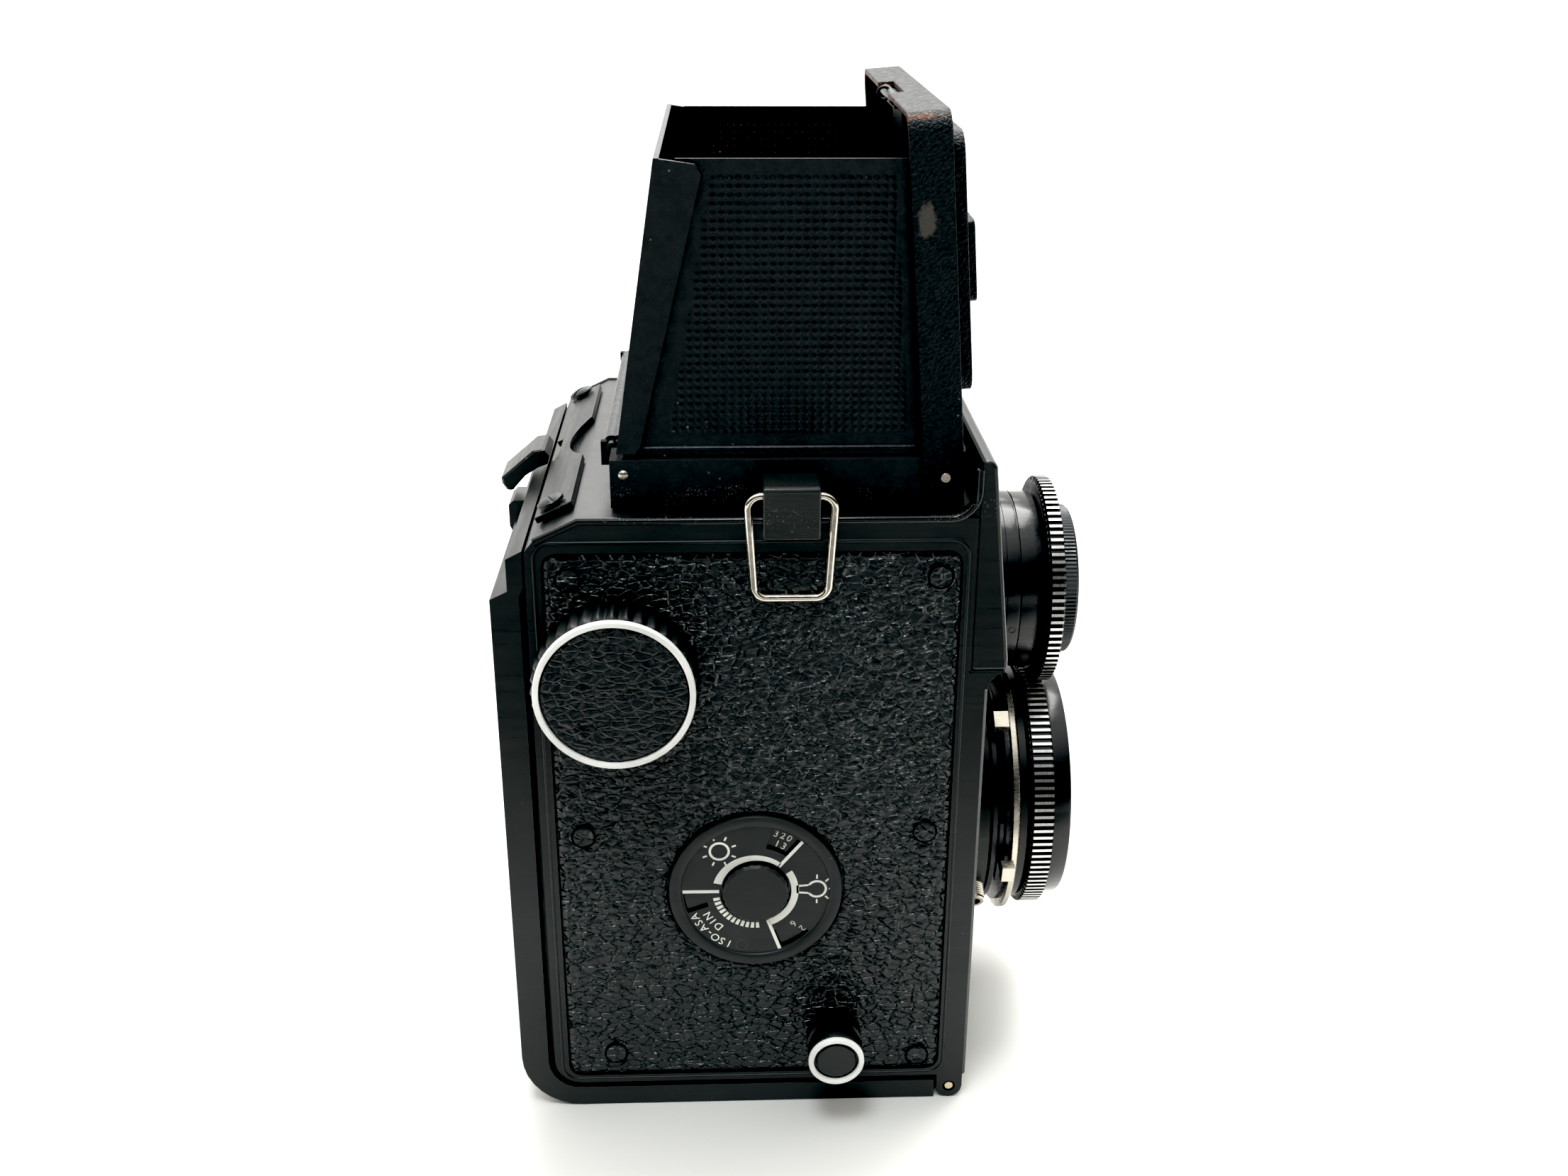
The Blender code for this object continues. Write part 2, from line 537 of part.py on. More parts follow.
def hood_lid():
    """Front wall of the hood: a tray with skirts that caps the closed hood."""
    half = LID_HALF_WIDTH
    pivot = at(*LID_PIVOT)

    def lean(obj):
        obj.rotation_euler = (-LID_LEAN, 0, 0)
        return obj

    ear = 0.0026
    front = arc((half - 0.003, LID_HEIGHT - 0.003), 0.003, 0, 90, 5)
    front += arc((-half + 0.003, LID_HEIGHT - 0.003), 0.003, 90, 180, 5)
    front += [(-half, -ear), (half, -ear)]
    lid = lean(outline("hood_lid", [front], -LID_BACK, -LID_FRONT, FORWARD, pivot))

    inner = half - LID_SHEET
    hollow = arc((inner - 0.0022, LID_HEIGHT - LID_SHEET - 0.0022), 0.0022, 0, 90, 4)
    hollow += arc((-inner + 0.0022, LID_HEIGHT - LID_SHEET - 0.0022), 0.0022, 90, 180, 4)
    hollow += [(-inner, -0.0050), (inner, -0.0050)]
    combine(lid, lean(outline("lid_hollow", [hollow], -0.0060, -LID_FRONT - LID_SHEET, FORWARD, pivot)))
    combine(lid, lean(box("lid_foot_cut", (-inner, -0.0040, -0.0040), (inner, 0.0040, 0.0034), pivot)))
    outside = [(-0.0040, -0.0040), (0.0045, -0.0040), (0.0045, 0.0008)]
    outside += arc((0, 0), 0.00325, 0, -150, 10) + [(-0.0040, 0.0005)]
    combine(lid, lean(outline("lid_ear_rounding", [outside], -0.0400, 0.0400, ACROSS, pivot)))
    combine(lid, lean(box("magnifier_notch", (-0.0083, 0.0008, 0.0495), (0.0083, 0.0050, 0.0540), pivot)))
    raised = outline("lid_raised_panel", [rounded_rect((-0.0335, 0.0118), (0.0335, 0.0490), 0.003)],
                     0.0025, 0.00475, FORWARD, pivot)
    combine(lid, lean(raised), "UNION")
    combine(lid, lean(box("emboss_back", (-0.0326, -0.0038, 0.0127), (0.0326, -0.0015, 0.0481), pivot)))
    plate = outline("lid_blank_plate", [rounded_rect((-0.0305, 0.0245), (0.0305, 0.0363), 0.001, 2)],
                    0.0040, 0.0062, FORWARD, pivot)
    combine(lid, lean(plate), "UNION")
    combine(lid, lean(rod("lid_pivot_bore", HINGE_ROD_BORE, -0.0400, 0.0400, ACROSS, pivot, 16)))
    finish(lid, PAINTED_SHEET, 0.45)


def magnifier():
    """Swing-out lens in a frame that lies flat inside the lid."""
    lid_pivot = Vector(at(*LID_PIVOT))
    pivot = lid_pivot + LID_TURN @ MAGNIFIER_PIVOT

    def hang(obj):
        obj.rotation_euler = (-LID_LEAN, 0, 0)
        return obj

    drop = -0.0180                      # lens centre below the hinge
    front, back = 0.0009, 0.0035        # frame thickness, ahead of the hinge axis
    ring = circle((0, drop), 0.0125, 32)
    lens_hole = circle((0, drop), 0.0099, 28)
    frame = hang(outline("magnifier_frame", [ring, lens_hole], front, back, FORWARD, pivot))
    arm = rect((-0.0070, -0.0080), (0.0070, 0.0001))
    combine(frame, hang(outline("magnifier_arm", [arm], front, back, FORWARD, pivot)), "UNION")
    combine(frame, hang(box("magnifier_shoulder", (-0.0070, -0.0020, -0.0014),
                            (0.0070, 0.0002, 0.0002), pivot)), "UNION")
    combine(frame, hang(rod("magnifier_roll", 0.0009, -0.0077, 0.0077, ACROSS, pivot, 14)), "UNION")
    finish(frame, PAINTED_SHEET, 0.4)

    edge, rise, middle = 0.0006, 0.0007, (front + back) / 2
    rim = 0.0096
    profile = [(rim * t / 3, middle + edge + rise * (1 - (t / 3) ** 2)) for t in range(4)]
    profile += [(radius, 2 * middle - height) for radius, height in reversed(profile)]
    lean_forward = LID_TURN @ FORWARD
    center = pivot + LID_TURN @ Vector((0, 0, drop))
    lens = turned("magnifier_lens", profile, lean_forward, center, 24, closed=False)
    finish(lens, (0.9, 0.95, 0.95), 0.02, 0.0, 1.0)


# ---------------------------------------------------------------- reflex finder and light chamber
def finder_optics():
    reach, thick = 0.0280, 0.0018
    mirror = box("reflex_mirror", (-0.0300, -reach, -thick), (0.0300, reach, 0), (0, -0.0080, VIEWING_Z))
    mirror.rotation_euler = (math.radians(45), 0, 0)
    finish(mirror, (0.9, 0.9, 0.9), 0.03, 1.0)
    screen = box("focusing_screen", (-0.0270, -0.0270, 0.1042), (0.0270, 0.0150, 0.1059))
    finish(screen, (0.8, 0.82, 0.8), 0.3, 0.0, 0.8)


def light_chamber():
    """Funnel from the taking lens to the film gate, with the gate's plate."""
    sections = ((-0.0305, 0.0105), (-0.0010, 0.0109), (0.0317, GATE_HALF))
    bm = bmesh.new()
    rings = []
    for y, half in sections:
        corners = ((-half, -half), (half, -half), (half, half), (-half, half))
        rings.append([bm.verts.new((x, y, TAKING_Z + z)) for x, z in corners])
    plate = ((-0.0344, 0.0121), (0.0344, 0.0121), (0.0344, 0.0702), (-0.0344, 0.0702))
    rings.append([bm.verts.new((x, sections[-1][0], z)) for x, z in plate])
    for near, far in zip(rings, rings[1:]):
        for i in range(4):
            bm.faces.new((near[i], near[(i + 1) % 4], far[(i + 1) % 4], far[i]))
    chamber = as_object("light_chamber", bm)
    wall = chamber.modifiers.new("wall", "SOLIDIFY")
    wall.thickness = 0.0012
    wall.offset = -1.0
    wall.use_even_offset = True
    finish(chamber, (0.01, 0.01, 0.01), 0.8)


# ---------------------------------------------------------------- viewing lens
def viewing_lens():
    center = at(0, VIEWING_Z)
    profile = [(0.0155, 0.0490), (0.0155, 0.0305), (0.0180, 0.0305), (0.0180, 0.0295),
               (0.0120, 0.0295), (0.0120, 0.0490)]
    finish(turned("viewing_barrel", profile, FORWARD, center, 36), BLACK_PLASTIC, 0.3, 0.4)

    pitch = GEAR_MODULE * VIEWING_TEETH / 2
    rim = toothed(pitch + TOOTH_TIP, pitch - TOOTH_ROOT, VIEWING_TEETH, -90 + 180 / VIEWING_TEETH)
    ring = outline("viewing_gear_ring", [rim, circle((0, 0), 0.0134, 32)], 0.0493, 0.0521, FORWARD, center)
    finish(ring, BLACK_PLASTIC, 0.3, 0.6)

    cell = [(0.0123, 0.0554), (0.0130, 0.0549), (0.0130, 0.0495), (0.0098, 0.0495), (0.0098, 0.0530),
            (0.0112, 0.0550)]
    finish(turned("viewing_front_cell", cell, FORWARD, center, 36), BLACK_PLASTIC, 0.3, 0.6)
    finish(lens_blank("viewing_lens_front", 0.0095, 0.0499, 0.0524, center), GLASS, 0.02, 0.0, 1.0)


def lens_blank(name, rim, low, high, center):
    """Biconvex element between two heights along the lens axis."""
    middle, edge = (low + high) / 2, (high - low) * 0.2
    rise = (high - low) / 2 - edge
    profile = [(rim * t / 3, middle + edge + rise * (1 - (t / 3) ** 2)) for t in range(4)]
    profile += [(radius, 2 * middle - height) for radius, height in reversed(profile)]
    return turned(name, profile, FORWARD, center, 24, closed=False)


# ---------------------------------------------------------------- taking lens and shutter
def sector(inner, outer, start, end, count=8):
    return arc((0, 0), outer, start, end, count) + arc((0, 0), inner, end, start, count)


def lever(name, start, end, tab, low, high, tab_high):
    """Sector that turns about the lens axis, with a finger tab at an angle."""
    center = at(0, TAKING_Z)
    obj = outline(name, [sector(0.0180, 0.0215, start, end)], low, high, FORWARD, center)
    neck = rect((0.0205, -0.0010), (0.0252, 0.0010))
    finger = rect((0.0241, -0.0015), (0.0262, 0.0015))
    for part, points, top in (("neck", neck, high), ("finger", finger, tab_high)):
        turn = math.radians(tab)
        points = [(x * math.cos(turn) - y * math.sin(turn), x * math.sin(turn) + y * math.cos(turn))
                  for x, y in points]
        combine(obj, outline(name + "_" + part, [points], low, top, FORWARD, center), "UNION")
    return obj


def taking_lens():
    center = at(0, TAKING_Z)
    housing = [(0.0215, 0.0478), (0.0215, 0.0462), (0.0177, 0.0462), (0.0177, 0.0413), (0.0220, 0.0413),
               (0.0220, 0.0364), (0.0147, 0.0364), (0.0147, 0.0312), (0.0100, 0.0312), (0.0100, 0.0450),
               (0.0105, 0.0478)]
    body = turned("shutter_housing", housing, FORWARD, center, 36)
    socket_dir = Vector((-0.8713, 0, -0.4907))
    to_socket = socket_dir.to_track_quat("Z", "Y").to_matrix()
    socket_root = Vector(center) + Vector((0, -0.0389, 0))
    combine(body, rod("socket_hole", 0.00225, 0.0180, 0.0260, to_socket, socket_root))
    finish(body, BLACK_PLASTIC, 0.35, 0.3)
    tube = [(0.00195, 0.0252), (0.00195, 0.0183), (0.0012, 0.0183), (0.0012, 0.0252)]
    socket = turned("cable_release_socket", tube, to_socket, socket_root, 24)
    finish(socket, BRIGHT_METAL, 0.25, 1.0)

    aperture = lever("aperture_ring", 60, 120, 180 - 52, 0.0416, 0.0425, 0.0442)
    full = outline("aperture_annulus", [circle((0, 0), 0.0215, 36), circle((0, 0), 0.0180, 32)],
                   0.0416, 0.0425, FORWARD, center)
    combine(aperture, full, "UNION")
    finish(aperture, BRIGHT_METAL, 0.35, 1.0)
    finish(lever("release_lever", 172, 208, 190, 0.0428, 0.0436, 0.0450), BRIGHT_METAL, 0.35, 1.0)
    finish(lever("cocking_lever", 2, 38, 20, 0.0428, 0.0436, 0.0450), BRIGHT_METAL, 0.35, 1.0)
    speed = outline("speed_ring", [circle((0, 0), 0.0235, 48), circle((0, 0), 0.0180, 32)],
                    0.0439, 0.0459, FORWARD, center)
    finish(speed, WARM_METAL, 0.3, 1.0)

    pitch = GEAR_MODULE * TAKING_TEETH / 2
    rim = toothed(pitch + TOOTH_TIP, pitch - TOOTH_ROOT, TAKING_TEETH, 90)
    ring = outline("taking_gear_ring", [rim, circle((0, 0), 0.0188, 36)], 0.0481, 0.0521, FORWARD, center)
    finish(ring, BLACK_PLASTIC, 0.3, 0.6)
    cell = [(0.0199, 0.0555), (0.02075, 0.0550), (0.02075, 0.0524), (0.0185, 0.0524),
            (0.0185, 0.0483), (0.0102, 0.0483), (0.0102, 0.0526), (0.0165, 0.0534), (0.0182, 0.0553)]
    finish(turned("taking_front_cell", cell, FORWARD, center, 40), BLACK_PLASTIC, 0.3, 0.6)
    finish(lens_blank("taking_lens_front", 0.0099, 0.0495, 0.0523, center), GLASS, 0.02, 0.0, 1.0)
    finish(lens_blank("taking_lens_rear", 0.0097, 0.0325, 0.0350, center), GLASS, 0.02, 0.0, 1.0)


# ---------------------------------------------------------------- film transport
def winding_knob():
    axis = at(*TAKE_UP)
    rings = [toothed(0.0125, 0.0119, 36), circle((0, 0), SPINDLE_R + GAP, 20)]
    finish(outline("advance_knob", rings, 0.0399, 0.0469, RIGHT, axis), BLACK_PLASTIC, 0.45)
    rings = [circle((0, 0), 0.0120, 40), circle((0, 0), 0.0111, 40)]
    finish(outline("advance_knob_ring", rings, 0.0472, 0.0482, RIGHT, axis), (0.9, 0.9, 0.88), 0.3, 0.6)
    insert = rod("advance_knob_insert", 0.0108, 0.0472, 0.0479, RIGHT, axis, 36)
    finish(insert, LEATHERETTE, 0.6)
    finish(rod("advance_spindle", SPINDLE_R, 0.0314, 0.0466, RIGHT, axis), BRIGHT_METAL, 0.35, 1.0)

    hub_r, bore = 0.0040, SPINDLE_R + GAP
    wheel = outline("winding_ratchet", [toothed(0.0072, 0.0062, 16),
                                        circle((0, 0), bore, 20)], 0.0332, 0.0347, RIGHT, axis)
    hub = turned("ratchet_hub", [(hub_r, 0.0387), (hub_r, 0.0340), (bore + 0.0002, 0.0340),
                                 (bore + 0.0002, 0.0387)], RIGHT, axis, 24)
    combine(wheel, hub, "UNION")
    finish(wheel, WARM_METAL, 0.4, 1.0)


def spool(name, axis):
    """Roll-film spool lying across the body."""
    half, web, bore = SPOOL_HALF, SPOOL_HALF - 0.0010, 0.0286
    top = [(0.0, bore), (SPOOL_BORE_R, bore), (SPOOL_BORE_R, half), (SPOOL_FLANGE_R, half),
           (SPOOL_FLANGE_R, web), (SPOOL_CORE_R, web)]
    profile = top + [(radius, -height) for radius, height in reversed(top)]
    obj = turned(name, profile, RIGHT, at(*axis), 16, closed=False)
    finish(obj, (0.03, 0.03, 0.03), 0.5)


def supply_knob():
    axis = at(*SUPPLY)
    knurl, plain = 0.00455, 0.00415
    profile = [(0.0, 0.0479), (0.0034, 0.0479), (0.0034, 0.0472), (knurl, 0.0472), (knurl, 0.0442),
               (plain, 0.0442), (plain, 0.0433), (knurl, 0.0433), (knurl, 0.0397),
               (SPINDLE_R, 0.0397), (SPINDLE_R, 0.0314), (0.0, 0.0314)]
    finish(turned("spool_knob", profile, RIGHT, axis, 24, closed=False), BLACK_PLASTIC, 0.45)
    ring = [(knurl, 0.0482), (knurl, 0.0475), (0.0037, 0.0475), (0.0037, 0.0482)]
    finish(turned("spool_knob_ring", ring, RIGHT, axis, 28), (0.9, 0.9, 0.88), 0.3, 0.6)


def film_rollers():
    for name, z in (("lower", 0.0096), ("upper", 0.0726)):
        side = [(0.0, 0.0346), (0.0009, 0.0346), (0.0009, 0.0310), (0.0019, 0.0310)]
        profile = side + [(radius, -height) for radius, height in reversed(side)]
        roller = turned("film_roller_" + name, profile, ACROSS, at(0.0312, z), 12, closed=False)
        finish(roller, BRIGHT_METAL, 0.3, 1.0)


def film_speed_dial():
    """Reminder dial: fixed printed face with windows over a turning number disc."""
    axis = at(*DIAL)
    rings = [circle((0, 0), 0.0141, 40), circle((0, 0), 0.0057, 24)]
    for middle in (56, 171, 296):
        window = arc((0, 0), 0.0117, middle - 13, middle + 13, 4)
        window += arc((0, 0), 0.0081, middle + 13, middle - 13, 3)
        rings.append([(-x, y) for x, y in window])
    face = outline("film_dial_plate", rings, 0.0387, 0.0392, RIGHT, axis)
    finish(face, (0.01, 0.011, 0.011), 0.35)
    numbers = outline("film_dial_numbers", [circle((0, 0), 0.0136, 32), circle((0, 0), 0.0023, 12)],
                      0.0380, 0.0384, RIGHT, axis)
    finish(numbers, (0.015, 0.015, 0.015), 0.4)
    hub = outline("film_dial_hub", [toothed(0.00535, 0.0051, 24)],
                  0.0387, 0.0402, RIGHT, axis)
    combine(hub, rod("hub_stem", 0.0020, 0.0369, 0.0390, RIGHT, axis, 16), "UNION")
    finish(hub, BLACK_PLASTIC, 0.45)


# ---------------------------------------------------------------- strap fittings and shoe
def strap_fitting(side_name, sign):
    sheet = 0.00075
    inner, outer, top = 0.0346, 0.0417, 0.11215
    side = [(inner, 0.1080), (inner, top), (outer - 0.0006, top), (outer, top - 0.0006), (outer, 0.1040),
            (outer - sheet, 0.1040), (outer - sheet, top - sheet), (inner + sheet, top - sheet),
            (inner + sheet, 0.1080)]
    side = [(sign * x, z) for x, z in side]
    clip = outline("strap_clip_" + side_name, [side], -0.0042, 0.0042, FORWARD, (0, STRAP_Y, 0))
    finish(clip, BLACK_PLASTIC, 0.4, 0.3)

    top_half, bottom_half, drop, bend = 0.00635, 0.0056, 0.0160, 0.0020
    points = arc((top_half - bend, -bend), bend, 90, 0, 4)
    points += arc((bottom_half - bend, -drop + bend), bend, 0, -90, 4)
    points += [(-y, z) for y, z in reversed(points)]
    curve = bpy.data.curves.new("strap_ring_" + side_name, "CURVE")
    curve.dimensions = "3D"
    curve.bevel_depth = 0.000625
    curve.bevel_resolution = 2
    spline = curve.splines.new("POLY")
    spline.points.add(len(points) - 1)
    for point, (y, z) in zip(spline.points, points):
        point.co = (0, y, z, 1)
    spline.use_cyclic_u = True
    loop = as_object("strap_ring_" + side_name, meshed(curve), UP,
                     (sign * STRAP_PIVOT_X, STRAP_Y, STRAP_PIVOT_Z))
    finish(loop, (0.66, 0.60, 0.50), 0.25, 1.0)


def accessory_shoe():
    """Channel on the left side that a flash foot slides into from above."""
    base, wall, top = 0.0396, 0.0008, 0.0430
    half, lip = 0.0100, 0.0026
    middle = 0.0060
    plan = [(base, middle - half), (top, middle - half), (top, middle - half + lip),
            (top - wall, middle - half + lip), (top - wall, middle - half + wall),
            (base + wall, middle - half + wall)]
    plan += [(x, 2 * middle - y) for x, y in reversed(plan)]
    shoe = outline("accessory_shoe", [plan], 0.0735, 0.0915, UP)
    finish(shoe, BRIGHT_METAL, 0.3, 1.0)


# ---------------------------------------------------------------- assembly
body_shell()
side_panel("right", -1)
side_panel("left", 1)
front_cover()
film_door()
door_fittings()
rear_plate()
door_latch()
hood_base()
hood_flap("right", -1)
hood_flap("left", 1)
hood_rear_panel()
hood_lid()
magnifier()
finder_optics()
light_chamber()
viewing_lens()
taking_lens()
winding_knob()
spool("take_up_spool", TAKE_UP)
spool("supply_spool", SUPPLY)
supply_knob()
film_rollers()
film_speed_dial()
strap_fitting("right", -1)
strap_fitting("left", 1)
accessory_shoe()
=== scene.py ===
"""Looks of the twin lens reflex camera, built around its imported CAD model.

Units are metres in the model's own frame: +Z up, lenses towards -Y, winding knob on the -X side.
"""
import json
import math

import bmesh
import bpy
from mathutils import Matrix, Vector, noise


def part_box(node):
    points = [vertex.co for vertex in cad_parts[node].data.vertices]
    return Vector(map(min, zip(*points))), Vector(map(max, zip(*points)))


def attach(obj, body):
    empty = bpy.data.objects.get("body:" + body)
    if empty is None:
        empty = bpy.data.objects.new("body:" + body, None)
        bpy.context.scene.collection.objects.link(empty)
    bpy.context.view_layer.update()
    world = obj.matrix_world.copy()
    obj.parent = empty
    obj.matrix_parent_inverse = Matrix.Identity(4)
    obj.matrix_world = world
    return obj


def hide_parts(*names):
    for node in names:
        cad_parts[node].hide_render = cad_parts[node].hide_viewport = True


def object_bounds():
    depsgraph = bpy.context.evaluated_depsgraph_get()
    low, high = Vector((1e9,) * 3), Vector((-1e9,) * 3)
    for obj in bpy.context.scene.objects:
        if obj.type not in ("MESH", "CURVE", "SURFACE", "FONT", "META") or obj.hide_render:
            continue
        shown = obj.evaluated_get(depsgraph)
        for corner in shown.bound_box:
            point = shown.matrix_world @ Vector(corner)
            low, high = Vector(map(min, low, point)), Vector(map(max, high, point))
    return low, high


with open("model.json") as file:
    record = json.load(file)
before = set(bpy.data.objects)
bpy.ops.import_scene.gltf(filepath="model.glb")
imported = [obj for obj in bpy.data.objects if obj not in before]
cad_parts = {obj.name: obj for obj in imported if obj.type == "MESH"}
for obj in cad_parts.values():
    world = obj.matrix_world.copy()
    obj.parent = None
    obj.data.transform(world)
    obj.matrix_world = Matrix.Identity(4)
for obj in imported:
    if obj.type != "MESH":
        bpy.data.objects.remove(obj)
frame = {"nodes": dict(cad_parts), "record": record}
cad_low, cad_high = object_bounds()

MM = 0.001

# Where a piece's own x, y and z point.
UP = Matrix.Identity(3)
ACROSS = Matrix(((0, 0, 1), (1, 0, 0), (0, 1, 0)))      # x to +Y, y to +Z, axis to +X
FORWARD = Matrix(((1, 0, 0), (0, 0, -1), (0, 1, 0)))    # axis to -Y
RIGHT = Matrix(((0, 0, -1), (-1, 0, 0), (0, 1, 0)))     # x to -Y, y to +Z, axis to -X
MIRRORED = Matrix(((0, 0, -1), (1, 0, 0), (0, 1, 0)))   # x to +Y, y to +Z, axis to -X
SIDES = (("right", -1), ("left", 1))                    # a side's name and the sign of its x

joint_at = {joint["name"]: joint.get("pos_m") for joint in frame["record"]["behaviour"]["joints"]}
TAKING = Vector((0, 0, joint_at["taking_focus_turn"][2]))
VIEWING = Vector((0, 0, joint_at["viewing_focus_turn"][2]))
TAKE_UP, SUPPLY, DIAL = (Vector((0, *joint_at[name + "_turn"][1:]))
                         for name in ("take_up", "supply", "film_dial"))


# ---------------------------------------------------------------- materials
def wired(tree, kind, inputs=None, **settings):
    """New node's outputs, from its inputs (values, or sockets to link) and its settings."""
    made = tree.nodes.new("ShaderNode" + kind)
    for key, value in settings.items():
        setattr(made, key, value)
    for key, value in (inputs or {}).items():
        if isinstance(value, bpy.types.NodeSocket):
            tree.links.new(value, made.inputs[key])
        else:
            made.inputs[key].default_value = value
    return made.outputs


class Surface:
    """A node material whose texture space is the model's own frame."""

    def __init__(self, name, color, roughness, metallic=0.0):
        self.material = bpy.data.materials.new(name)
        self.material.use_nodes = True
        self.tree = self.material.node_tree
        self.shader = self.tree.nodes["Principled BSDF"]
        self.space = self.node("TexCoord")["Object"]
        self.color = color
        self.normal = None
        self.set(Base_Color=(*color, 1.0), Roughness=roughness, Metallic=metallic)

    def set(self, **values):
        """Uniform values of the shader; underscores in the names stand for spaces."""
        for name, value in values.items():
            self.shader.inputs[name.replace("_", " ")].default_value = value

    def node(self, kind, inputs=None, **settings):
        return wired(self.tree, kind, inputs, **settings)

    def stretched(self, scale, shift=(0.0, 0.0, 0.0), space=None):
        return self.node("Mapping", {"Scale": scale, "Location": shift, "Vector": space or self.space})[0]

    def noise(self, scale, detail=3.0, rough=0.55, space=None):
        return self.node("TexNoise", {"Scale": scale, "Detail": detail, "Roughness": rough,
                                      "Vector": space or self.space})["Fac"]

    def cells(self, scale, feature="F1", space=None):
        return self.node("TexVoronoi", {"Scale": scale, "Vector": space or self.space},
                         feature=feature)["Distance"]

    def ramp(self, source, stops):
        node = self.tree.nodes.new("ShaderNodeValToRGB")
        elements = node.color_ramp.elements
        while len(elements) < len(stops):
            elements.new(0.5)
        for element, (place, color) in zip(elements, stops):
            element.position = place
            element.color = (*color, 1.0)
        self.tree.links.new(source, node.inputs["Fac"])
        return node.outputs["Color"]

    def span(self, source, low, high, start=0.0, end=1.0):
        return self.node("MapRange", {"Value": source, "From Min": start, "From Max": end,
                                      "To Min": low, "To Max": high})["Result"]

    def mix(self, factor, first, second):
        first, second = ((*value, 1.0) if isinstance(value, tuple) else value for value in (first, second))
        return self.node("Mix", {0: factor, 6: first, 7: second}, data_type="RGBA")[2]

    def product(self, first, second):
        return self.node("Math", {0: first, 1: second}, operation="MULTIPLY", use_clamp=True)[0]

    def paint(self, color):
        self.tree.links.new(color, self.shader.inputs["Base Color"])

    def rough(self, value):
        self.tree.links.new(value, self.shader.inputs["Roughness"])

    def bump(self, height, distance, strength=1.0):
        inputs = {"Distance": distance, "Strength": strength, "Height": height}
        if self.normal:
            inputs["Normal"] = self.normal
        self.normal = self.node("Bump", inputs)["Normal"]
        self.tree.links.new(self.normal, self.shader.inputs["Normal"])

    def specks(self, color, scale=420.0, limit=0.07, base=None):
        """Fine dust: small pale spots where a sparse noise allows them."""
        spots = self.span(self.cells(scale), 1.0, 0.0, limit * 0.6, limit)
        where = self.span(self.noise(scale * 0.11, 2.0), 0.0, 1.0, 0.58, 0.66)
        return self.mix(self.product(spots, where), base or self.color, color)

    def settled_dust(self, base, low, high):
        """Thick fine dust between two heights, in drifts."""
        z = self.node("SeparateXYZ", {0: self.space})["Z"]
        band = self.product(self.span(z, 0.0, 1.0, low - 0.1 * MM, low + 0.1 * MM),
                            self.span(z, 1.0, 0.0, high - 0.8 * MM, high))
        grains = self.product(self.span(self.cells(2300), 1.0, 0.0, 0.10, 0.26),
                              self.span(self.noise(190, 4.0), 0.0, 0.8, 0.50, 0.66))
        return self.mix(self.product(band, grains), base, (0.24, 0.23, 0.19))


DUST_FROM = 105.9 * MM                      # height of the deck, where dust settles
LID_SKIRT = (34.6 * MM, 34.9 * MM)          # where the lid's outer side faces begin, across the camera
SCAR = (24.3, 149.0)                        # depth and height of the bare patch on the lid's skirt, in mm


def plastic(name, color, roughness, dust=True, gloss=0.4):
    """Satin moulded plastic with faint flow marks, fine scratches and dust."""
    made = Surface(name, color, roughness)
    made.set(Specular_IOR_Level=gloss)
    soft = tuple(c * 1.45 + 0.002 for c in color)
    clouds = made.ramp(made.noise(90, 4.0), [(0.35, color), (0.75, soft)])
    if dust:
        clouds = made.settled_dust(made.specks((0.20, 0.20, 0.18), base=clouds), DUST_FROM, 109.5 * MM)
    made.paint(clouds)
    scratches = made.noise(60, 6.0, 0.7, made.stretched((1.0, 1.0, 26.0)))
    made.rough(made.span(scratches, roughness - 0.07, roughness + 0.12, 0.3, 0.7))
    made.bump(made.noise(1500, 3.0), 0.02 * MM, 0.6)
    made.bump(made.noise(220, 2.0), 0.03 * MM, 0.35)
    return made.material


def leatherette(name, edge, depth):
    """Embossed covering with sunken creases: painted shade darkens them and a painted highlight makes their
    edges paler.
    """
    base = (0.0060, 0.0085, 0.0085)
    made = Surface(name, base, 0.28)
    bend = made.node("TexNoise", {"Scale": 520, "Vector": made.space})["Color"]
    shift = made.node("VectorMath", {0: bend, "Scale": 0.75 * MM}, operation="SCALE")[0]
    warped = made.node("VectorMath", {0: made.space, 1: shift}, operation="ADD")[0]
    drawn_out = made.stretched((1.0, 0.70, 1.25), space=warped)
    grain = made.cells(660, "DISTANCE_TO_EDGE", drawn_out)
    creases = made.span(grain, 0.0, 1.0, 0.0, 0.13)
    # Painted light: the crease colour is painted shade, edge is a painted highlight on the crease slopes,
    # and the tops are darker again.
    painted_crease_shade = (0.0010, 0.0014, 0.0014)
    shaded = made.ramp(grain, [(0.0, painted_crease_shade), (0.03, painted_crease_shade), (0.07, edge),
                               (0.12, (0.0055, 0.0080, 0.0082)), (0.3, (0.0030, 0.0048, 0.0050))])
    made.paint(made.specks((0.16, 0.16, 0.15), 380.0, 0.06, shaded))
    made.rough(made.span(made.noise(500, 3.0), 0.20, 0.36, 0.3, 0.7))
    made.bump(creases, depth, 1.0)
    made.bump(made.noise(3200, 2.0), 0.03 * MM, 0.5)
    return made.material


def crinkle_paint():
    """Semi-matt enamel over sheet metal, with a fine crinkle and a few rubbed patches."""
    base = (0.0050, 0.0062, 0.0072)
    made = Surface("crinkle_paint", base, 0.42)
    made.set(Specular_IOR_Level=0.35)
    clouds = made.ramp(made.noise(420, 5.0, 0.65), [(0.3, base), (0.75, (0.011, 0.0135, 0.0145))])
    dusty = made.specks((0.22, 0.21, 0.19), 520.0, 0.09, clouds)
    made.paint(made.settled_dust(dusty, DUST_FROM, 110.5 * MM))
    made.rough(made.span(made.noise(900, 3.0), 0.26, 0.42, 0.3, 0.7))
    made.bump(made.noise(2100, 4.0, 0.7), 0.07 * MM, 0.8)
    return made.material


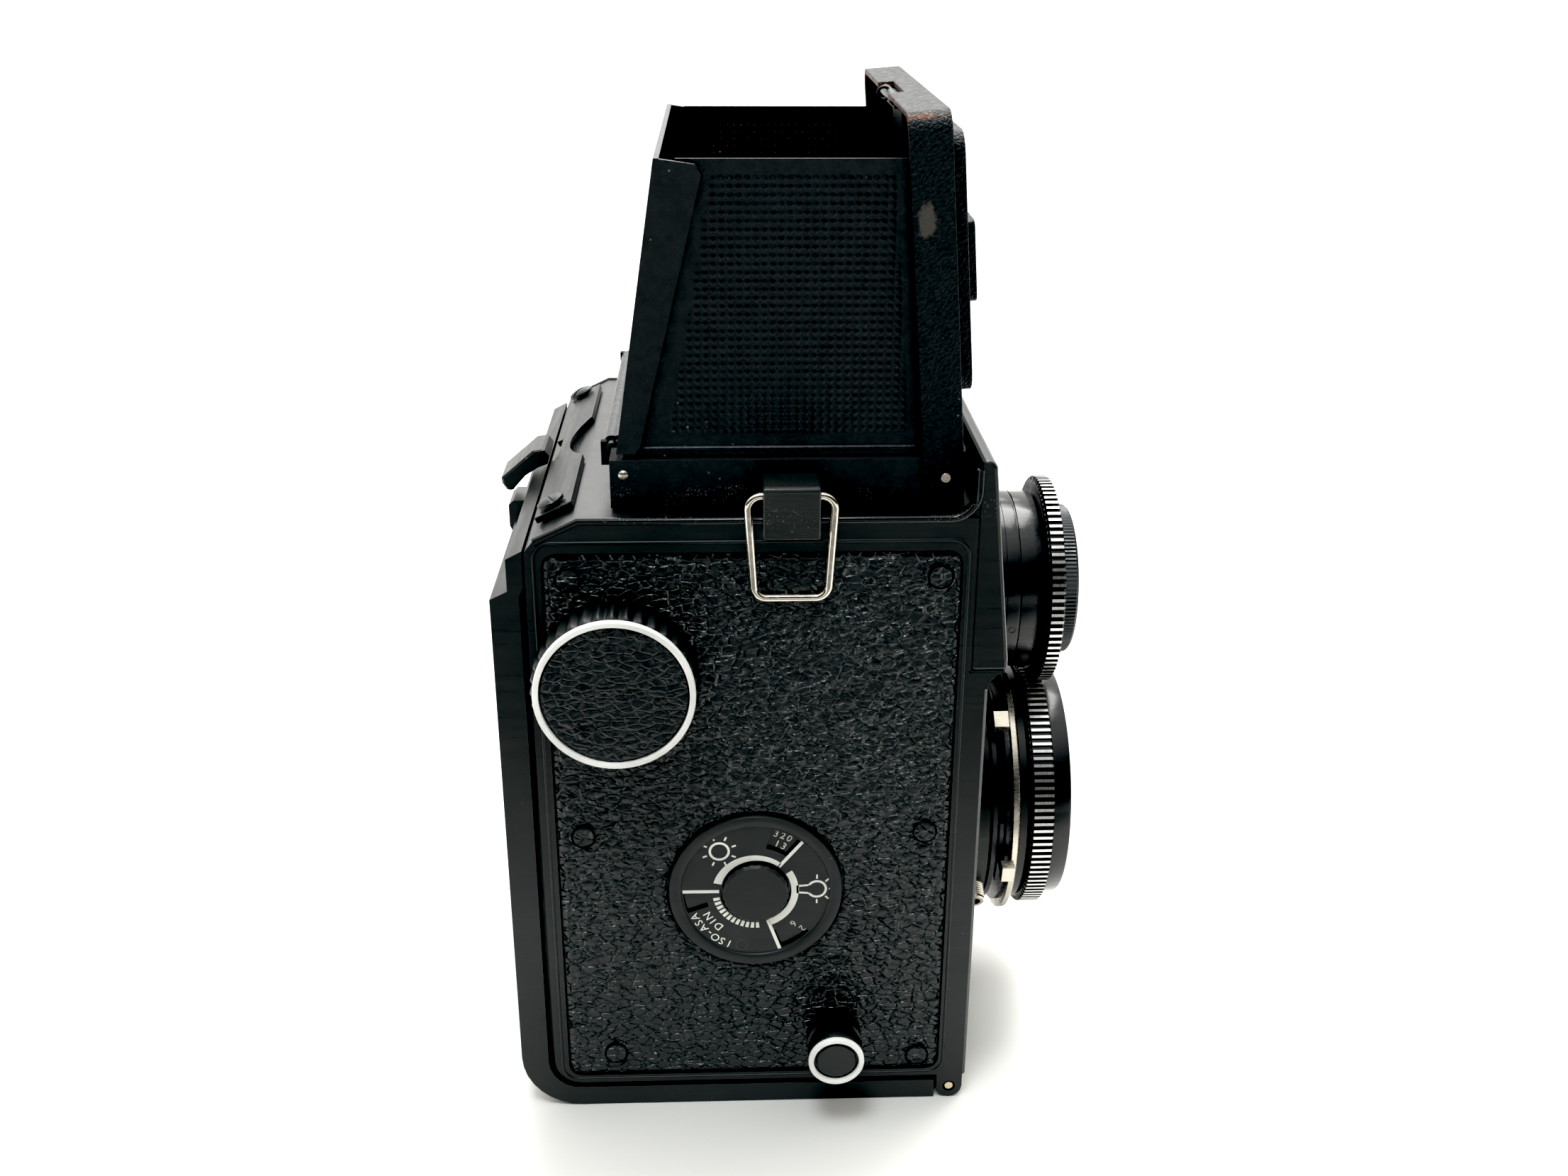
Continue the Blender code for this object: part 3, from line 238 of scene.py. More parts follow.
def worn_paint():
    """The lid's paint: crinkled, speckled, rubbed through in places and rusty inside the top."""
    base = (0.0042, 0.0054, 0.0062)
    made = Surface("worn_paint", base, 0.42)
    made.set(Specular_IOR_Level=0.25)
    crinkle = made.cells(1500, "DISTANCE_TO_EDGE")
    mottled = made.ramp(made.noise(1500, 4.0, 0.7), [(0.40, base), (0.62, (0.0085, 0.0105, 0.0115))])
    dusty = made.specks((0.26, 0.25, 0.22), 700.0, 0.11, mottled)
    patch = made.noise(85, 7.0, 0.68)
    rubbed = made.span(patch, 0.0, 0.7, 0.675, 0.71)
    aged = made.mix(rubbed, dusty, (0.16, 0.14, 0.11))

    x, y, z = made.node("SeparateXYZ", {0: made.space})
    wide, tall = 1.5, 2.8
    scar_space = made.stretched((0.0, 1 / (wide * MM), 1 / (tall * MM)),
                                (0.0, SCAR[0] / wide, -SCAR[1] / tall))
    away = made.node("VectorMath", {0: scar_space}, operation="LENGTH")["Value"]
    ragged = made.node("Math", {0: made.noise(900, 5.0, 0.7), 1: 1.4, 2: away}, operation="MULTIPLY_ADD")[0]
    past_right = (-LID_SKIRT[1], -LID_SKIRT[0])
    scar = made.product(made.span(ragged, 0.85, 0.0, 1.35, 1.65), made.span(x, 1.0, 0.0, *past_right))
    aged = made.mix(scar, aged, (0.085, 0.076, 0.064))

    skirts = made.product(made.span(x, 0.0, 1.0, *past_right), made.span(x, 1.0, 0.0, *LID_SKIRT))
    inside = made.product(skirts, made.span(y, 0.0, 1.0, -26.6 * MM, -26.0 * MM))
    under_top = made.product(made.span(z, 0.0, 1.0, 152.0 * MM, 156.0 * MM),
                             made.span(z, 1.0, 0.0, 163.0 * MM, 163.2 * MM))
    flakes = made.span(made.noise(240, 5.0), 0.0, 1.0, 0.42, 0.52)
    rust = made.product(made.product(inside, under_top), flakes)
    made.paint(made.mix(rust, aged, (0.12, 0.040, 0.014)))
    made.rough(made.span(made.noise(900, 3.0), 0.34, 0.58, 0.3, 0.7))
    made.bump(made.span(crinkle, 0.0, 1.0, 0.0, 0.25), 0.10 * MM, 0.8)
    made.bump(made.noise(2100, 4.0, 0.7), 0.10 * MM, 0.9)
    made.bump(made.span(patch, 1.0, 0.0, 0.655, 0.70), 0.04 * MM, 0.7)
    return made.material


def metal(name, color, roughness, streak=(1.0, 1.0, 1.0), tarnish=(0.30, 0.25, 0.18)):
    """Bare metal with fine machining streaks and a little tarnish."""
    made = Surface(name, color, roughness, 1.0)
    patches = made.span(made.noise(160, 5.0, 0.6), 0.0, 0.55, 0.55, 0.80)
    made.paint(made.mix(patches, color, tarnish))
    lines = made.noise(900, 4.0, 0.6, made.stretched(streak))
    made.rough(made.span(lines, roughness - 0.08, roughness + 0.16, 0.3, 0.7))
    made.bump(lines, 0.01 * MM, 0.5)
    return made.material


def glass(name, tint, coat):
    """Coated optical glass: clear body under a faint coloured reflection."""
    made = Surface(name, tint, 0.02)
    made.set(Transmission_Weight=1.0, IOR=1.52, Coat_Weight=0.15, Coat_Tint=(*coat, 1.0))
    made.rough(made.span(made.noise(300, 3.0), 0.0, 0.02, 0.4, 0.8))
    made.paint(made.ramp(made.noise(120, 2.0), [(0.3, tint), (0.9, tuple(0.96 * c for c in tint))]))
    return made.material


BLACK = plastic("black_plastic", (0.0070, 0.0082, 0.0080), 0.32)
DARK = plastic("dark_plastic", (0.0055, 0.0062, 0.0064), 0.20)
CLIP = plastic("strap_clip_enamel", (0.020, 0.022, 0.020), 0.22)
POLISHED = plastic("rubbed_edge_plastic", (0.010, 0.011, 0.011), 0.12)
DISC = plastic("worn_disc", (0.0025, 0.0032, 0.0032), 0.45, gloss=0.12)
MATT_GREY = plastic("matt_grey_plastic", (0.045, 0.048, 0.045), 0.55)
PRINTED = plastic("dial_face", (0.0125, 0.0140, 0.0135), 0.42)
WHITE = plastic("white_print", (0.78, 0.78, 0.72), 0.45, dust=False)
TRIM = plastic("white_trim", (0.82, 0.82, 0.79), 0.26, dust=False)
RED = plastic("red_plastic", (0.30, 0.012, 0.010), 0.14, dust=False)
# The first colour of each covering is its painted highlight along the crease edges.
LEATHER = leatherette("leatherette", (0.030, 0.040, 0.040), 0.24 * MM)
KNOB_LEATHER = leatherette("knob_covering", (0.009, 0.012, 0.012), 0.07 * MM)
CRINKLE = crinkle_paint()
WORN = worn_paint()
INSIDE = plastic("flocked_inside", (0.010, 0.0105, 0.0105), 0.85)
BRIGHT = metal("bright_metal", (0.80, 0.79, 0.76), 0.26, (1.0, 40.0, 1.0))
STEEL = metal("spring_steel", (0.56, 0.55, 0.53), 0.30, (30.0, 1.0, 1.0))
BRASS = metal("brass", (0.74, 0.63, 0.42), 0.24, (1.0, 1.0, 1.0))
NICKEL = metal("worn_nickel", (0.62, 0.58, 0.50), 0.24, (1.0, 1.0, 12.0), (0.22, 0.16, 0.08))
PLATED = metal("plated_steel", (0.36, 0.355, 0.34), 0.30, (1.0, 1.0, 20.0))
WIRE = metal("polished_wire", (0.86, 0.80, 0.68), 0.13, (1.0, 1.0, 1.0), (0.62, 0.50, 0.30))
GUNMETAL = metal("gunmetal", (0.050, 0.052, 0.054), 0.36, (1.0, 1.0, 1.0), (0.05, 0.05, 0.05))
LENS = glass("lens_glass", (0.15, 0.15, 0.19), (0.50, 0.42, 0.86))
MAGNIFYING = glass("magnifier_glass", (0.95, 0.98, 0.97), (0.9, 0.95, 1.0))
SCREEN = plastic("ground_glass", (0.11, 0.12, 0.115), 0.38, dust=False)
MIRROR = metal("mirror_silver", (0.88, 0.89, 0.90), 0.10)


# ---------------------------------------------------------------- building tools
def points_on_arc(center, radius, start, end, count):
    """Points along an arc, with the angles in degrees."""
    found = []
    for step in range(count + 1):
        angle = math.radians(start + (end - start) * step / count)
        found.append((center[0] + radius * math.cos(angle), center[1] + radius * math.sin(angle)))
    return found


def circle(center, radius, count=96):
    return points_on_arc(center, radius, 0, 360, count)[:-1]


def rounded_rect(low, high, radius, count=8):
    corners = ((high[0] - radius, high[1] - radius, 0), (low[0] + radius, high[1] - radius, 90),
               (low[0] + radius, low[1] + radius, 180), (high[0] - radius, low[1] + radius, 270))
    found = []
    for x, y, start in corners:
        found += points_on_arc((x, y), radius, start, start + 90, count)
    return found


def polar(radius, angle):
    return Vector((radius * math.cos(math.radians(angle)), radius * math.sin(math.radians(angle))))


def smooth(mesh, angle=38):
    mesh.polygons.foreach_set("use_smooth", [True] * len(mesh.polygons))
    mesh.set_sharp_from_angle(angle=math.radians(angle))


def added(name, data):
    """New object of the scene."""
    obj = bpy.data.objects.new(name, data)
    bpy.context.scene.collection.objects.link(obj)
    return obj


def evaluated(obj):
    """Mesh of an object with its modifiers, or of a curve."""
    bpy.context.view_layer.update()
    return bpy.data.meshes.new_from_object(obj.evaluated_get(bpy.context.evaluated_depsgraph_get()))


def corners_of(name):
    """A CAD node's lowest and highest corner."""
    return [Vector(corner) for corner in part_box(name)]


def place(name, bm, basis, location, materials, body, slot, replaced=()):
    """Turns a bmesh into a finished piece that rides a body and stands for CAD nodes."""
    bmesh.ops.remove_doubles(bm, verts=bm.verts, dist=1e-7)
    mesh = bpy.data.meshes.new(name)
    bm.to_mesh(mesh)
    bm.free()
    mesh.transform(Matrix.Translation(location) @ basis.to_4x4())
    smooth(mesh)
    obj = added(name, mesh)
    for material in materials if isinstance(materials, (list, tuple)) else [materials]:
        mesh.materials.append(material)
    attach(obj, body)
    if replaced:
        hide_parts(*replaced)
    return obj


def round_edges(obj, width, segments=2, angle=32):
    edge = obj.modifiers.new("round", "BEVEL")
    edge.width = width
    edge.segments = segments
    edge.limit_method = "ANGLE"
    edge.angle_limit = math.radians(angle)
    even = obj.modifiers.new("even_shading", "WEIGHTED_NORMAL")
    even.keep_sharp = False
    return obj


def lathe(profile, steps=128, closed=True):
    """Ring or disc from radius and height pairs, outer side first, from the top down."""
    bm = bmesh.new()
    rings = []
    for radius, height in profile:
        if radius == 0:
            rings.append([bm.verts.new((0, 0, height))])
            continue
        ring = []
        for step in range(steps):
            angle = 2 * math.pi * step / steps
            ring.append(bm.verts.new((radius * math.cos(angle), radius * math.sin(angle), height)))
        rings.append(ring)
    pairs = list(zip(rings, rings[1:]))
    if closed:
        pairs.append((rings[-1], rings[0]))
    for upper, lower in pairs:
        for step in range(steps):
            after = (step + 1) % steps
            corners = [upper[step % len(upper)], lower[step % len(lower)],
                       lower[after % len(lower)], upper[after % len(upper)]]
            unique = list(dict.fromkeys(corners))
            if len(unique) > 2:
                bm.faces.new(unique)
    bmesh.ops.recalc_face_normals(bm, faces=bm.faces)
    return bm


def turned(profile, steps=128, closed=True):
    """Lathe whose profile is given in millimetres."""
    return lathe([(radius * MM, height * MM) for radius, height in profile], steps, closed)


def slab(rings, low, high):
    """Solid of a flat outline, with holes, between two heights."""
    curve = bpy.data.curves.new("slab", "CURVE")
    curve.dimensions = "2D"
    curve.fill_mode = "BOTH"
    curve.extrude = (high - low) / 2
    for ring in rings:
        spline = curve.splines.new("POLY")
        spline.points.add(len(ring) - 1)
        for point, place_at in zip(spline.points, ring):
            point.co = (place_at[0], place_at[1], 0, 1)
        spline.use_cyclic_u = True
    return from_curve(curve, (low + high) / 2)


def from_curve(curve, lift=0.0):
    drawn = added("drawn", curve)
    mesh = evaluated(drawn)
    bpy.data.objects.remove(drawn, do_unlink=True)
    bm = bmesh.new()
    bm.from_mesh(mesh)
    bpy.data.meshes.remove(mesh)
    bmesh.ops.remove_doubles(bm, verts=bm.verts, dist=1e-7)
    bmesh.ops.translate(bm, vec=(0, 0, lift), verts=bm.verts)
    bmesh.ops.recalc_face_normals(bm, faces=bm.faces)
    return bm


def tube(points, radius, closed=False):
    """Round wire through points."""
    curve = bpy.data.curves.new("tube", "CURVE")
    curve.dimensions = "3D"
    curve.bevel_depth = radius
    curve.bevel_resolution = 6
    curve.use_fill_caps = not closed
    spline = curve.splines.new("POLY")
    spline.points.add(len(points) - 1)
    for point, place_at in zip(spline.points, points):
        point.co = (*place_at, 1)
    spline.use_cyclic_u = closed
    return from_curve(curve)


def stacked(levels, inner, count):
    """Ring through a stack of outlines: levels are (height, outline); inner is the bore's radius."""
    bm = bmesh.new()
    loops = [[bm.verts.new((x, y, height)) for x, y in ring] for height, ring in levels]
    bore = []
    for height in (levels[-1][0], levels[0][0]):
        bore.append([bm.verts.new((*polar(inner, 360.0 * i / count), height)) for i in range(count)])
    for upper, lower in zip(loops, loops[1:]):
        join_loops(bm, upper, lower)
    join_loops(bm, loops[-1], bore[0])
    join_loops(bm, bore[0], bore[1])
    join_loops(bm, bore[1], loops[0])
    bmesh.ops.recalc_face_normals(bm, faces=bm.faces)
    return bm


def join_loops(bm, first, second):
    for i in range(len(first)):
        j = (i + 1) % len(first)
        bm.faces.new((first[i], first[j], second[j], second[i]))


def gear_outline(teeth, tip, root, phase, land=0.5):
    """Flat-topped teeth with eight points each; land is the tip's share of the pitch."""
    ring = []
    pitch = 360.0 / teeth
    for tooth in range(teeth):
        start = phase + tooth * pitch
        half = land * pitch / 2
        for offset, radius in ((-half, tip), (-half / 3, tip), (half / 3, tip), (half, tip),
                               (half + pitch * 0.07, root), (pitch / 2 - pitch * 0.04, root),
                               (pitch / 2 + pitch * 0.04, root), (pitch - half - pitch * 0.07, root)):
            ring.append(tuple(polar(radius, start + offset)))
    return ring


def scaled(ring, change):
    """The outline moved in or out along its radii."""
    found = []
    for x, y in ring:
        radius = math.hypot(x, y)
        found.append((x * (radius + change) / radius, y * (radius + change) / radius))
    return found


def knurled(profile, steps, depth):
    """Lathe whose marked rings alternate in radius: profile holds radius and height in millimetres and
    a 0 or 1 mark."""
    bm = turned([point[:2] for point in profile], steps, False)
    marks = {(round(radius * MM, 7), round(height * MM, 7)) for radius, height, mark in profile if mark}
    for vert in bm.verts:
        radius = math.hypot(vert.co.x, vert.co.y)
        if (round(radius, 7), round(vert.co.z, 7)) not in marks:
            continue
        step = round(math.atan2(vert.co.y, vert.co.x) / (2 * math.pi) * steps)
        if step % 2:
            vert.co.x *= (radius - depth) / radius
            vert.co.y *= (radius - depth) / radius
    return bm


def text_mesh(words, height, depth):
    curve = bpy.data.curves.new("print", "FONT")
    curve.body = words
    curve.size = height
    curve.extrude = depth / 2
    curve.align_x = "CENTER"
    curve.align_y = "CENTER"
    curve.resolution_u = 3
    return from_curve(curve)


def merged(parts):
    """One bmesh from several, each with a turn in degrees and a shift."""
    whole = bmesh.new()
    for part, turn, shift in parts:
        matrix = Matrix.Translation(shift) @ Matrix.Rotation(math.radians(turn), 4, "Z")
        part.transform(matrix)
        mesh = bpy.data.meshes.new("merge")
        part.to_mesh(mesh)
        part.free()
        whole.from_mesh(mesh)
        bpy.data.meshes.remove(mesh)
    return whole


def joined(*parts):
    return merged([(part, 0, (0, 0, 0)) for part in parts])


def relief(u_range, v_range, step, shape, height, back):
    """Grid sheet with a modelled face: shape(u, v) bends a grid point to the outline or returns
    None outside it, height(u, v) lifts it, and the sides go down to back."""
    columns = round((u_range[1] - u_range[0]) / step)
    rows = round((v_range[1] - v_range[0]) / step)
    bm = bmesh.new()
    grid = {}
    for i in range(columns + 1):
        for j in range(rows + 1):
            u = u_range[0] + (u_range[1] - u_range[0]) * i / columns
            v = v_range[0] + (v_range[1] - v_range[0]) * j / rows
            spot = shape(u, v)
            if spot is not None:
                grid[i, j] = bm.verts.new((*spot, height(*spot)))
    for (i, j), vert in grid.items():
        corners = [grid.get(key) for key in ((i, j), (i + 1, j), (i + 1, j + 1), (i, j + 1))]
        if None not in corners:
            bm.faces.new(corners)
    loose = [vert for vert in bm.verts if not vert.link_faces]
    bmesh.ops.delete(bm, geom=loose, context="VERTS")
    rim = [edge for edge in bm.edges if len(edge.link_faces) == 1]
    made = bmesh.ops.extrude_edge_only(bm, edges=rim)
    for item in made["geom"]:
        if isinstance(item, bmesh.types.BMVert):
            item.co.z = back
    bmesh.ops.recalc_face_normals(bm, faces=bm.faces)
    return bm


def rod_between(start, end, radius, segments=24):
    """Cylinder between two points."""
    bm = bmesh.new()
    along = Vector(end) - Vector(start)
    bmesh.ops.create_cone(bm, cap_ends=True, segments=segments, radius1=radius, radius2=radius,
                          depth=along.length)
    turn = along.to_track_quat("Z", "Y").to_matrix().to_4x4()
    bm.transform(Matrix.Translation((Vector(start) + Vector(end)) / 2) @ turn)
    return bm


# ---------------------------------------------------------------- carried-over CAD nodes
FINISHES = {
    "body_shell": (BLACK, 0.45), "front_top_cover": (BLACK, 0.0), "rear_top_plate": (BLACK, 0.18),
    "back_door": (BLACK, 0.40), "door_latch": (BLACK, 0.0), "window_cover": (DARK, 0.15),
    "light_chamber": (INSIDE, 0.0), "hood_base": (CRINKLE, 0.25), "hood_rear_panel": (CRINKLE, 0.15),
    "hood_lid": (WORN, 0.28), "strap_clip_right": (CLIP, 0.35), "strap_clip_left": (CLIP, 0.35),
    "accessory_shoe": (PLATED, 0.12), "door_hinge_pin": (BRASS, 0.10), "rear_hinge_rod": (GUNMETAL, 0.10),
    "lid_hinge_rod": (NICKEL, 0.10), "reflex_mirror": (MIRROR, 0.0), "focusing_screen": (SCREEN, 0.10),
    "pressure_plate": (CRINKLE, 0.20), "pressure_spring": (STEEL, 0.0), "red_window": (RED, 0.15),
    "tripod_bush": (BRIGHT, 0.15), "winding_ratchet": (BRASS, 0.10), "advance_spindle": (STEEL, 0.15),
    "take_up_spool": (DARK, 0.20), "supply_spool": (DARK, 0.20), "film_roller_lower": (STEEL, 0.10),
    "film_roller_upper": (STEEL, 0.10), "magnifier_frame": (CRINKLE, 0.15), "taking_lens_rear": (LENS, 0.0),
    "film_dial_numbers": (DARK, 0.0), "aperture_ring": (GUNMETAL, 0.08), "release_lever": (GUNMETAL, 0.08),
    "cocking_lever": (GUNMETAL, 0.08),
}
for node_name, (node_material, edge_mm) in FINISHES.items():
    node = frame["nodes"][node_name]
    node.data.materials.clear()
    node.data.materials.append(node_material)
    smooth(node.data, 30)
    if edge_mm:
        weld = node.modifiers.new("weld", "WELD")
        weld.merge_threshold = 2e-6
        flat = node.modifiers.new("flat", "DECIMATE")
        flat.decimate_type = "DISSOLVE"
        flat.angle_limit = math.radians(0.6)
        round_edges(node, edge_mm * MM)

RING_EDGE = 23.2 * MM               # beyond this radius the shutter's rings and levers are bare metal
for node_name in ("aperture_ring", "release_lever", "cocking_lever"):
    ring = frame["nodes"][node_name].data
    ring.materials.append(NICKEL)
    for face in ring.polygons:
        if math.hypot(face.center.x, face.center.z - TAKING.z) > RING_EDGE:
            face.material_index = 1
base_top = 113.9 * MM
hood_base = frame["nodes"]["hood_base"].data
hood_base.materials.append(INSIDE)
for face in hood_base.polygons:
    if face.normal.z > 0.9 and face.center.z > base_top:
        face.material_index = 1

# ---------------------------------------------------------------- side panels
PANEL_LOW, PANEL_HIGH = corners_of("side_panel_right")
PANEL_CORNER = 2.0 * MM
PANEL_FACE = 39.0 * MM
HOLES = ((DIAL, 14.4 * MM), (TAKE_UP, 4.3 * MM), (SUPPLY, 2.3 * MM))
BOSSES = ((0.0275, 0.0970), (-0.0280, 0.0970), (0.0270, 0.0530),
          (-0.0273, 0.0530), (0.0233, 0.0107), (-0.0276, 0.0090))
PANEL_STEP = 0.24 * MM
PEBBLE_DEPTH = 0.15 * MM
noise.seed_set(1)                   # unseeded, noise_vector takes its offsets from the clock


def pebbles(y, z, seed):
    """Height of the embossed leather grain, as metres below the pebbles' tops."""
    bend = noise.noise_vector(Vector((y, z, seed)) * 520) * 0.62 * MM
    near = noise.voronoi(Vector((y * 0.88 + bend.x, z * 1.18 + bend.y, seed)) / (1.45 * MM))[0]
    top = min(1.0, (near[1] - near[0]) / 0.42)
    swell = noise.noise(Vector((y, z, seed + 3)) * 650)
    return -PEBBLE_DEPTH * (1 - top * top * (3 - 2 * top)) + 0.06 * MM * swell


def side_panel(side, sign, holes):
    """Pebbled covering with rounded corners, raised rims round its discs and cut-outs for the knobs."""
    middle_y = (PANEL_LOW.y + PANEL_HIGH.y) / 2
    middle_z = (PANEL_LOW.z + PANEL_HIGH.z) / 2
    half_y, half_z = (PANEL_HIGH.y - PANEL_LOW.y) / 2, (PANEL_HIGH.z - PANEL_LOW.z) / 2

    def shape(y, z):
        for center, radius in holes:
            away = Vector((y - center.y, z - center.z))
            if away.length < radius - 0.55 * PANEL_STEP:
                return None
            if away.length < radius + 0.55 * PANEL_STEP:
                away = away.normalized() * radius
                return (center.y + away.x, center.z + away.y)
        over = Vector((abs(y - middle_y) - half_y + PANEL_CORNER, abs(z - middle_z) - half_z + PANEL_CORNER))
        if over.x > 0 and over.y > 0 and over.length > PANEL_CORNER:
            over = over.normalized() * PANEL_CORNER
            y = middle_y + math.copysign(half_y - PANEL_CORNER + over.x, y - middle_y)
            z = middle_z + math.copysign(half_z - PANEL_CORNER + over.y, z - middle_z)
        return (y, z)

    def height(y, z):
        inset = min(half_y - abs(y - middle_y), half_z - abs(z - middle_z))
        grain = max(0.0, min(1.0, (inset - 0.5 * MM) / (0.9 * MM)))
        bosses = [math.hypot(y - boss_y, z - boss_z) for boss_y, boss_z in BOSSES]
        for away in bosses:
            grain *= 0.35 + 0.65 * max(0.0, min(1.0, (away - 2.2 * MM) / (0.5 * MM)))
        lift = grain * pebbles(y, z, sign * 0.5) - 0.03 * MM
        lift -= 0.34 * MM * math.exp(-(inset / (0.50 * MM)) ** 2)
        for away in bosses:
            lift += 0.13 * MM * (1 - math.tanh((away - 1.95 * MM) / (0.24 * MM)))
            lift -= 0.14 * MM * math.exp(-((away - 2.35 * MM) / (0.28 * MM)) ** 2)
        for center, radius in holes:
            gap = math.hypot(y - center.y, z - center.z) - radius
            lift -= 0.20 * MM * math.exp(-(gap / (0.3 * MM)) ** 2)
        return lift

    bm = relief((PANEL_LOW.y, PANEL_HIGH.y), (PANEL_LOW.z, PANEL_HIGH.z), PANEL_STEP,
                shape, height, -1.0 * MM)
    basis = ACROSS if sign > 0 else MIRRORED
    place("side_panel_" + side + "_covering", bm, basis, (sign * PANEL_FACE, 0, 0), LEATHER,
          "camera_body", "leatherette", ["side_panel_" + side])


side_panel("right", -1, HOLES)
side_panel("left", 1, ())

# ---------------------------------------------------------------- edges of the body's side walls
WALL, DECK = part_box("body_shell")[1][0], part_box("body_shell")[1][2]
COVER_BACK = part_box("front_top_cover")[1][1]
SLOPE = ((32.2 * MM, 103.2 * MM), (25.7 * MM, DECK))
COVER_RISE = 4.3 * MM


def wall_edges(side, sign):
    """Rounded rim of the deck, its sweep up to the front cover, and the lip round the covering."""
    sweep = points_on_arc((COVER_BACK + COVER_RISE, DECK + COVER_RISE), COVER_RISE, 270, 180, 12)
    path = [*SLOPE] + sweep + [(COVER_BACK, DECK + 7.6 * MM)]
    x = sign * (WALL - 0.45 * MM)
    rim = tube([(x, y, z - 0.25 * MM) for y, z in path], 0.62 * MM)
    place("deck_rim_" + side, rim, UP, (0, 0, 0), POLISHED, "camera_body", "black_plastic")

    corner = sweep + [(COVER_BACK - 0.3 * MM, DECK - 0.3 * MM)]
    ends = sorted((sign * 36.1 * MM, sign * (WALL - 0.4 * MM)))
    place("deck_corner_" + side, slab([corner], *ends), ACROSS, (0, 0, 0), BLACK, "camera_body",
          "black_plastic")

    border = rounded_rect((-32.1 * MM, 5.4 * MM), (32.4 * MM, 102.9 * MM), 2.6 * MM)
    lip = tube([(sign * (WALL - 0.08 * MM), y, z) for y, z in border], 0.27 * MM, True)
    place("covering_lip_" + side, lip, UP, (0, 0, 0), BLACK, "camera_body", "black_plastic")

    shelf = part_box("front_top_cover")[0][2]
    joins = [rounded_rect((COVER_BACK - 0.05 * MM, shelf), (COVER_BACK + 0.35 * MM, DECK), 0.1 * MM),
             rounded_rect((-38.4 * MM, shelf - 0.35 * MM), (COVER_BACK, shelf + 0.05 * MM), 0.1 * MM)]
    ends = sorted((sign * 37.4 * MM, sign * (WALL - 0.06 * MM)))
    seams = [slab([join], *ends) for join in joins]
    place("cover_joint_" + side, joined(*seams), ACROSS, (0, 0, 0), BLACK, "camera_body", "black_plastic")

    for number, (y, z) in enumerate(BOSSES):
        profile = [(0, 0.06), (0.9, 0.09), (1.55, 0.13), (1.75, 0.22), (1.90, 0.22), (2.02, 0.10),
                   (2.05, -0.30), (0, -0.30)]
        disc = turned(profile, 40, False)
        place("covering_disc_%s_%d" % (side, number), disc, ACROSS if sign > 0 else RIGHT,
              (sign * PANEL_FACE, y, z), DISC, "camera_body", "leatherette")


for side_name, side_sign in SIDES:
    wall_edges(side_name, side_sign)

# ---------------------------------------------------------------- hood flaps
FLAP_PITCH, FLAP_STEP = 1.2 * MM, 0.2 * MM


def flap(side, sign):
    """Side wall with a pin-dot pattern pressed into its middle."""
    low, high = corners_of("hood_flap_" + side)
    vertices = frame["nodes"]["hood_flap_" + side].data.vertices
    top = [vertex.co.y for vertex in vertices if vertex.co.z > high.z - 0.2 * MM]
    x, _, hinge_z = joint_at["flap_%s_hinge" % side]

    def edges(z):
        share = (z - hinge_z) / (high.z - hinge_z)
        return low.y + (min(top) - low.y) * share, high.y + (max(top) - high.y) * share

    def height(y, z):
        front, rear = edges(z)
        inset = min(y - front - 2.6 * MM, rear - y - 5.2 * MM, z - hinge_z - 2.0 * MM, high.z - z - 2.2 * MM)
        cover = max(0.0, min(1.0, inset / (0.6 * MM)))
        across = abs(math.sin(math.pi * y / FLAP_PITCH)) * abs(math.sin(math.pi * z / FLAP_PITCH))
        rough = noise.noise(Vector((y, z, sign * 0.3)) * 1600)
        return 0.22 * MM * cover * across ** 1.6 + 0.012 * MM * rough

    columns = round((high.y - low.y) / FLAP_STEP)
    rows = round((high.z - hinge_z) / FLAP_STEP)
    bm = bmesh.new()
    sheets = []
    for face in (1, -1):
        grid = []
        for j in range(rows + 1):
            z = hinge_z + (high.z - hinge_z) * j / rows
            front, rear = edges(z)
            across = [front + (rear - front) * (i / columns) for i in range(columns + 1)]
            grid.append([bm.verts.new((y, z, face * 0.20 * MM + height(y, z) - 0.08 * MM)) for y in across])
        sheets.append(grid)
    for grid in sheets:
        for upper, lower in zip(grid[1:], grid):
            for i in range(columns):
                bm.faces.new((lower[i], lower[i + 1], upper[i + 1], upper[i]))
    outer, inner = sheets
    for j in (0, rows):
        for i in range(columns):
            bm.faces.new((outer[j][i], outer[j][i + 1], inner[j][i + 1], inner[j][i]))
    for i in (0, columns):
        for j in range(rows):
            bm.faces.new((outer[j][i], outer[j + 1][i], inner[j + 1][i], inner[j][i]))
    barrel = rod_between((-24.0 * MM, hinge_z, 0), (18.0 * MM, hinge_z, 0), 0.6 * MM, 20)
    whole = joined(bm, barrel)
    bmesh.ops.recalc_face_normals(whole, faces=whole.faces)
    basis = ACROSS if sign > 0 else MIRRORED
    place("hood_flap_" + side + "_embossed", whole, basis, (x, 0, 0), CRINKLE, "hood_flap_" + side,
          "painted_sheet", ["hood_flap_" + side])


def flap_sill(side, sign):
    """Strip that closes the line between the hood's base and the rolled edge of its flap."""
    hinge = joint_at["flap_%s_hinge" % side]
    sill = slab([rounded_rect((-25.5 * MM, 113.6 * MM), (19.0 * MM, hinge[2] - 0.1 * MM), 0.2 * MM)],
                *sorted((sign * 32.75 * MM, sign * 33.25 * MM)))
    place("flap_sill_" + side, sill, ACROSS, (0, 0, 0), CRINKLE, "camera_body", "painted_sheet")


for build in (flap, flap_sill):
    for side_name, side_sign in SIDES:
        build(side_name, side_sign)


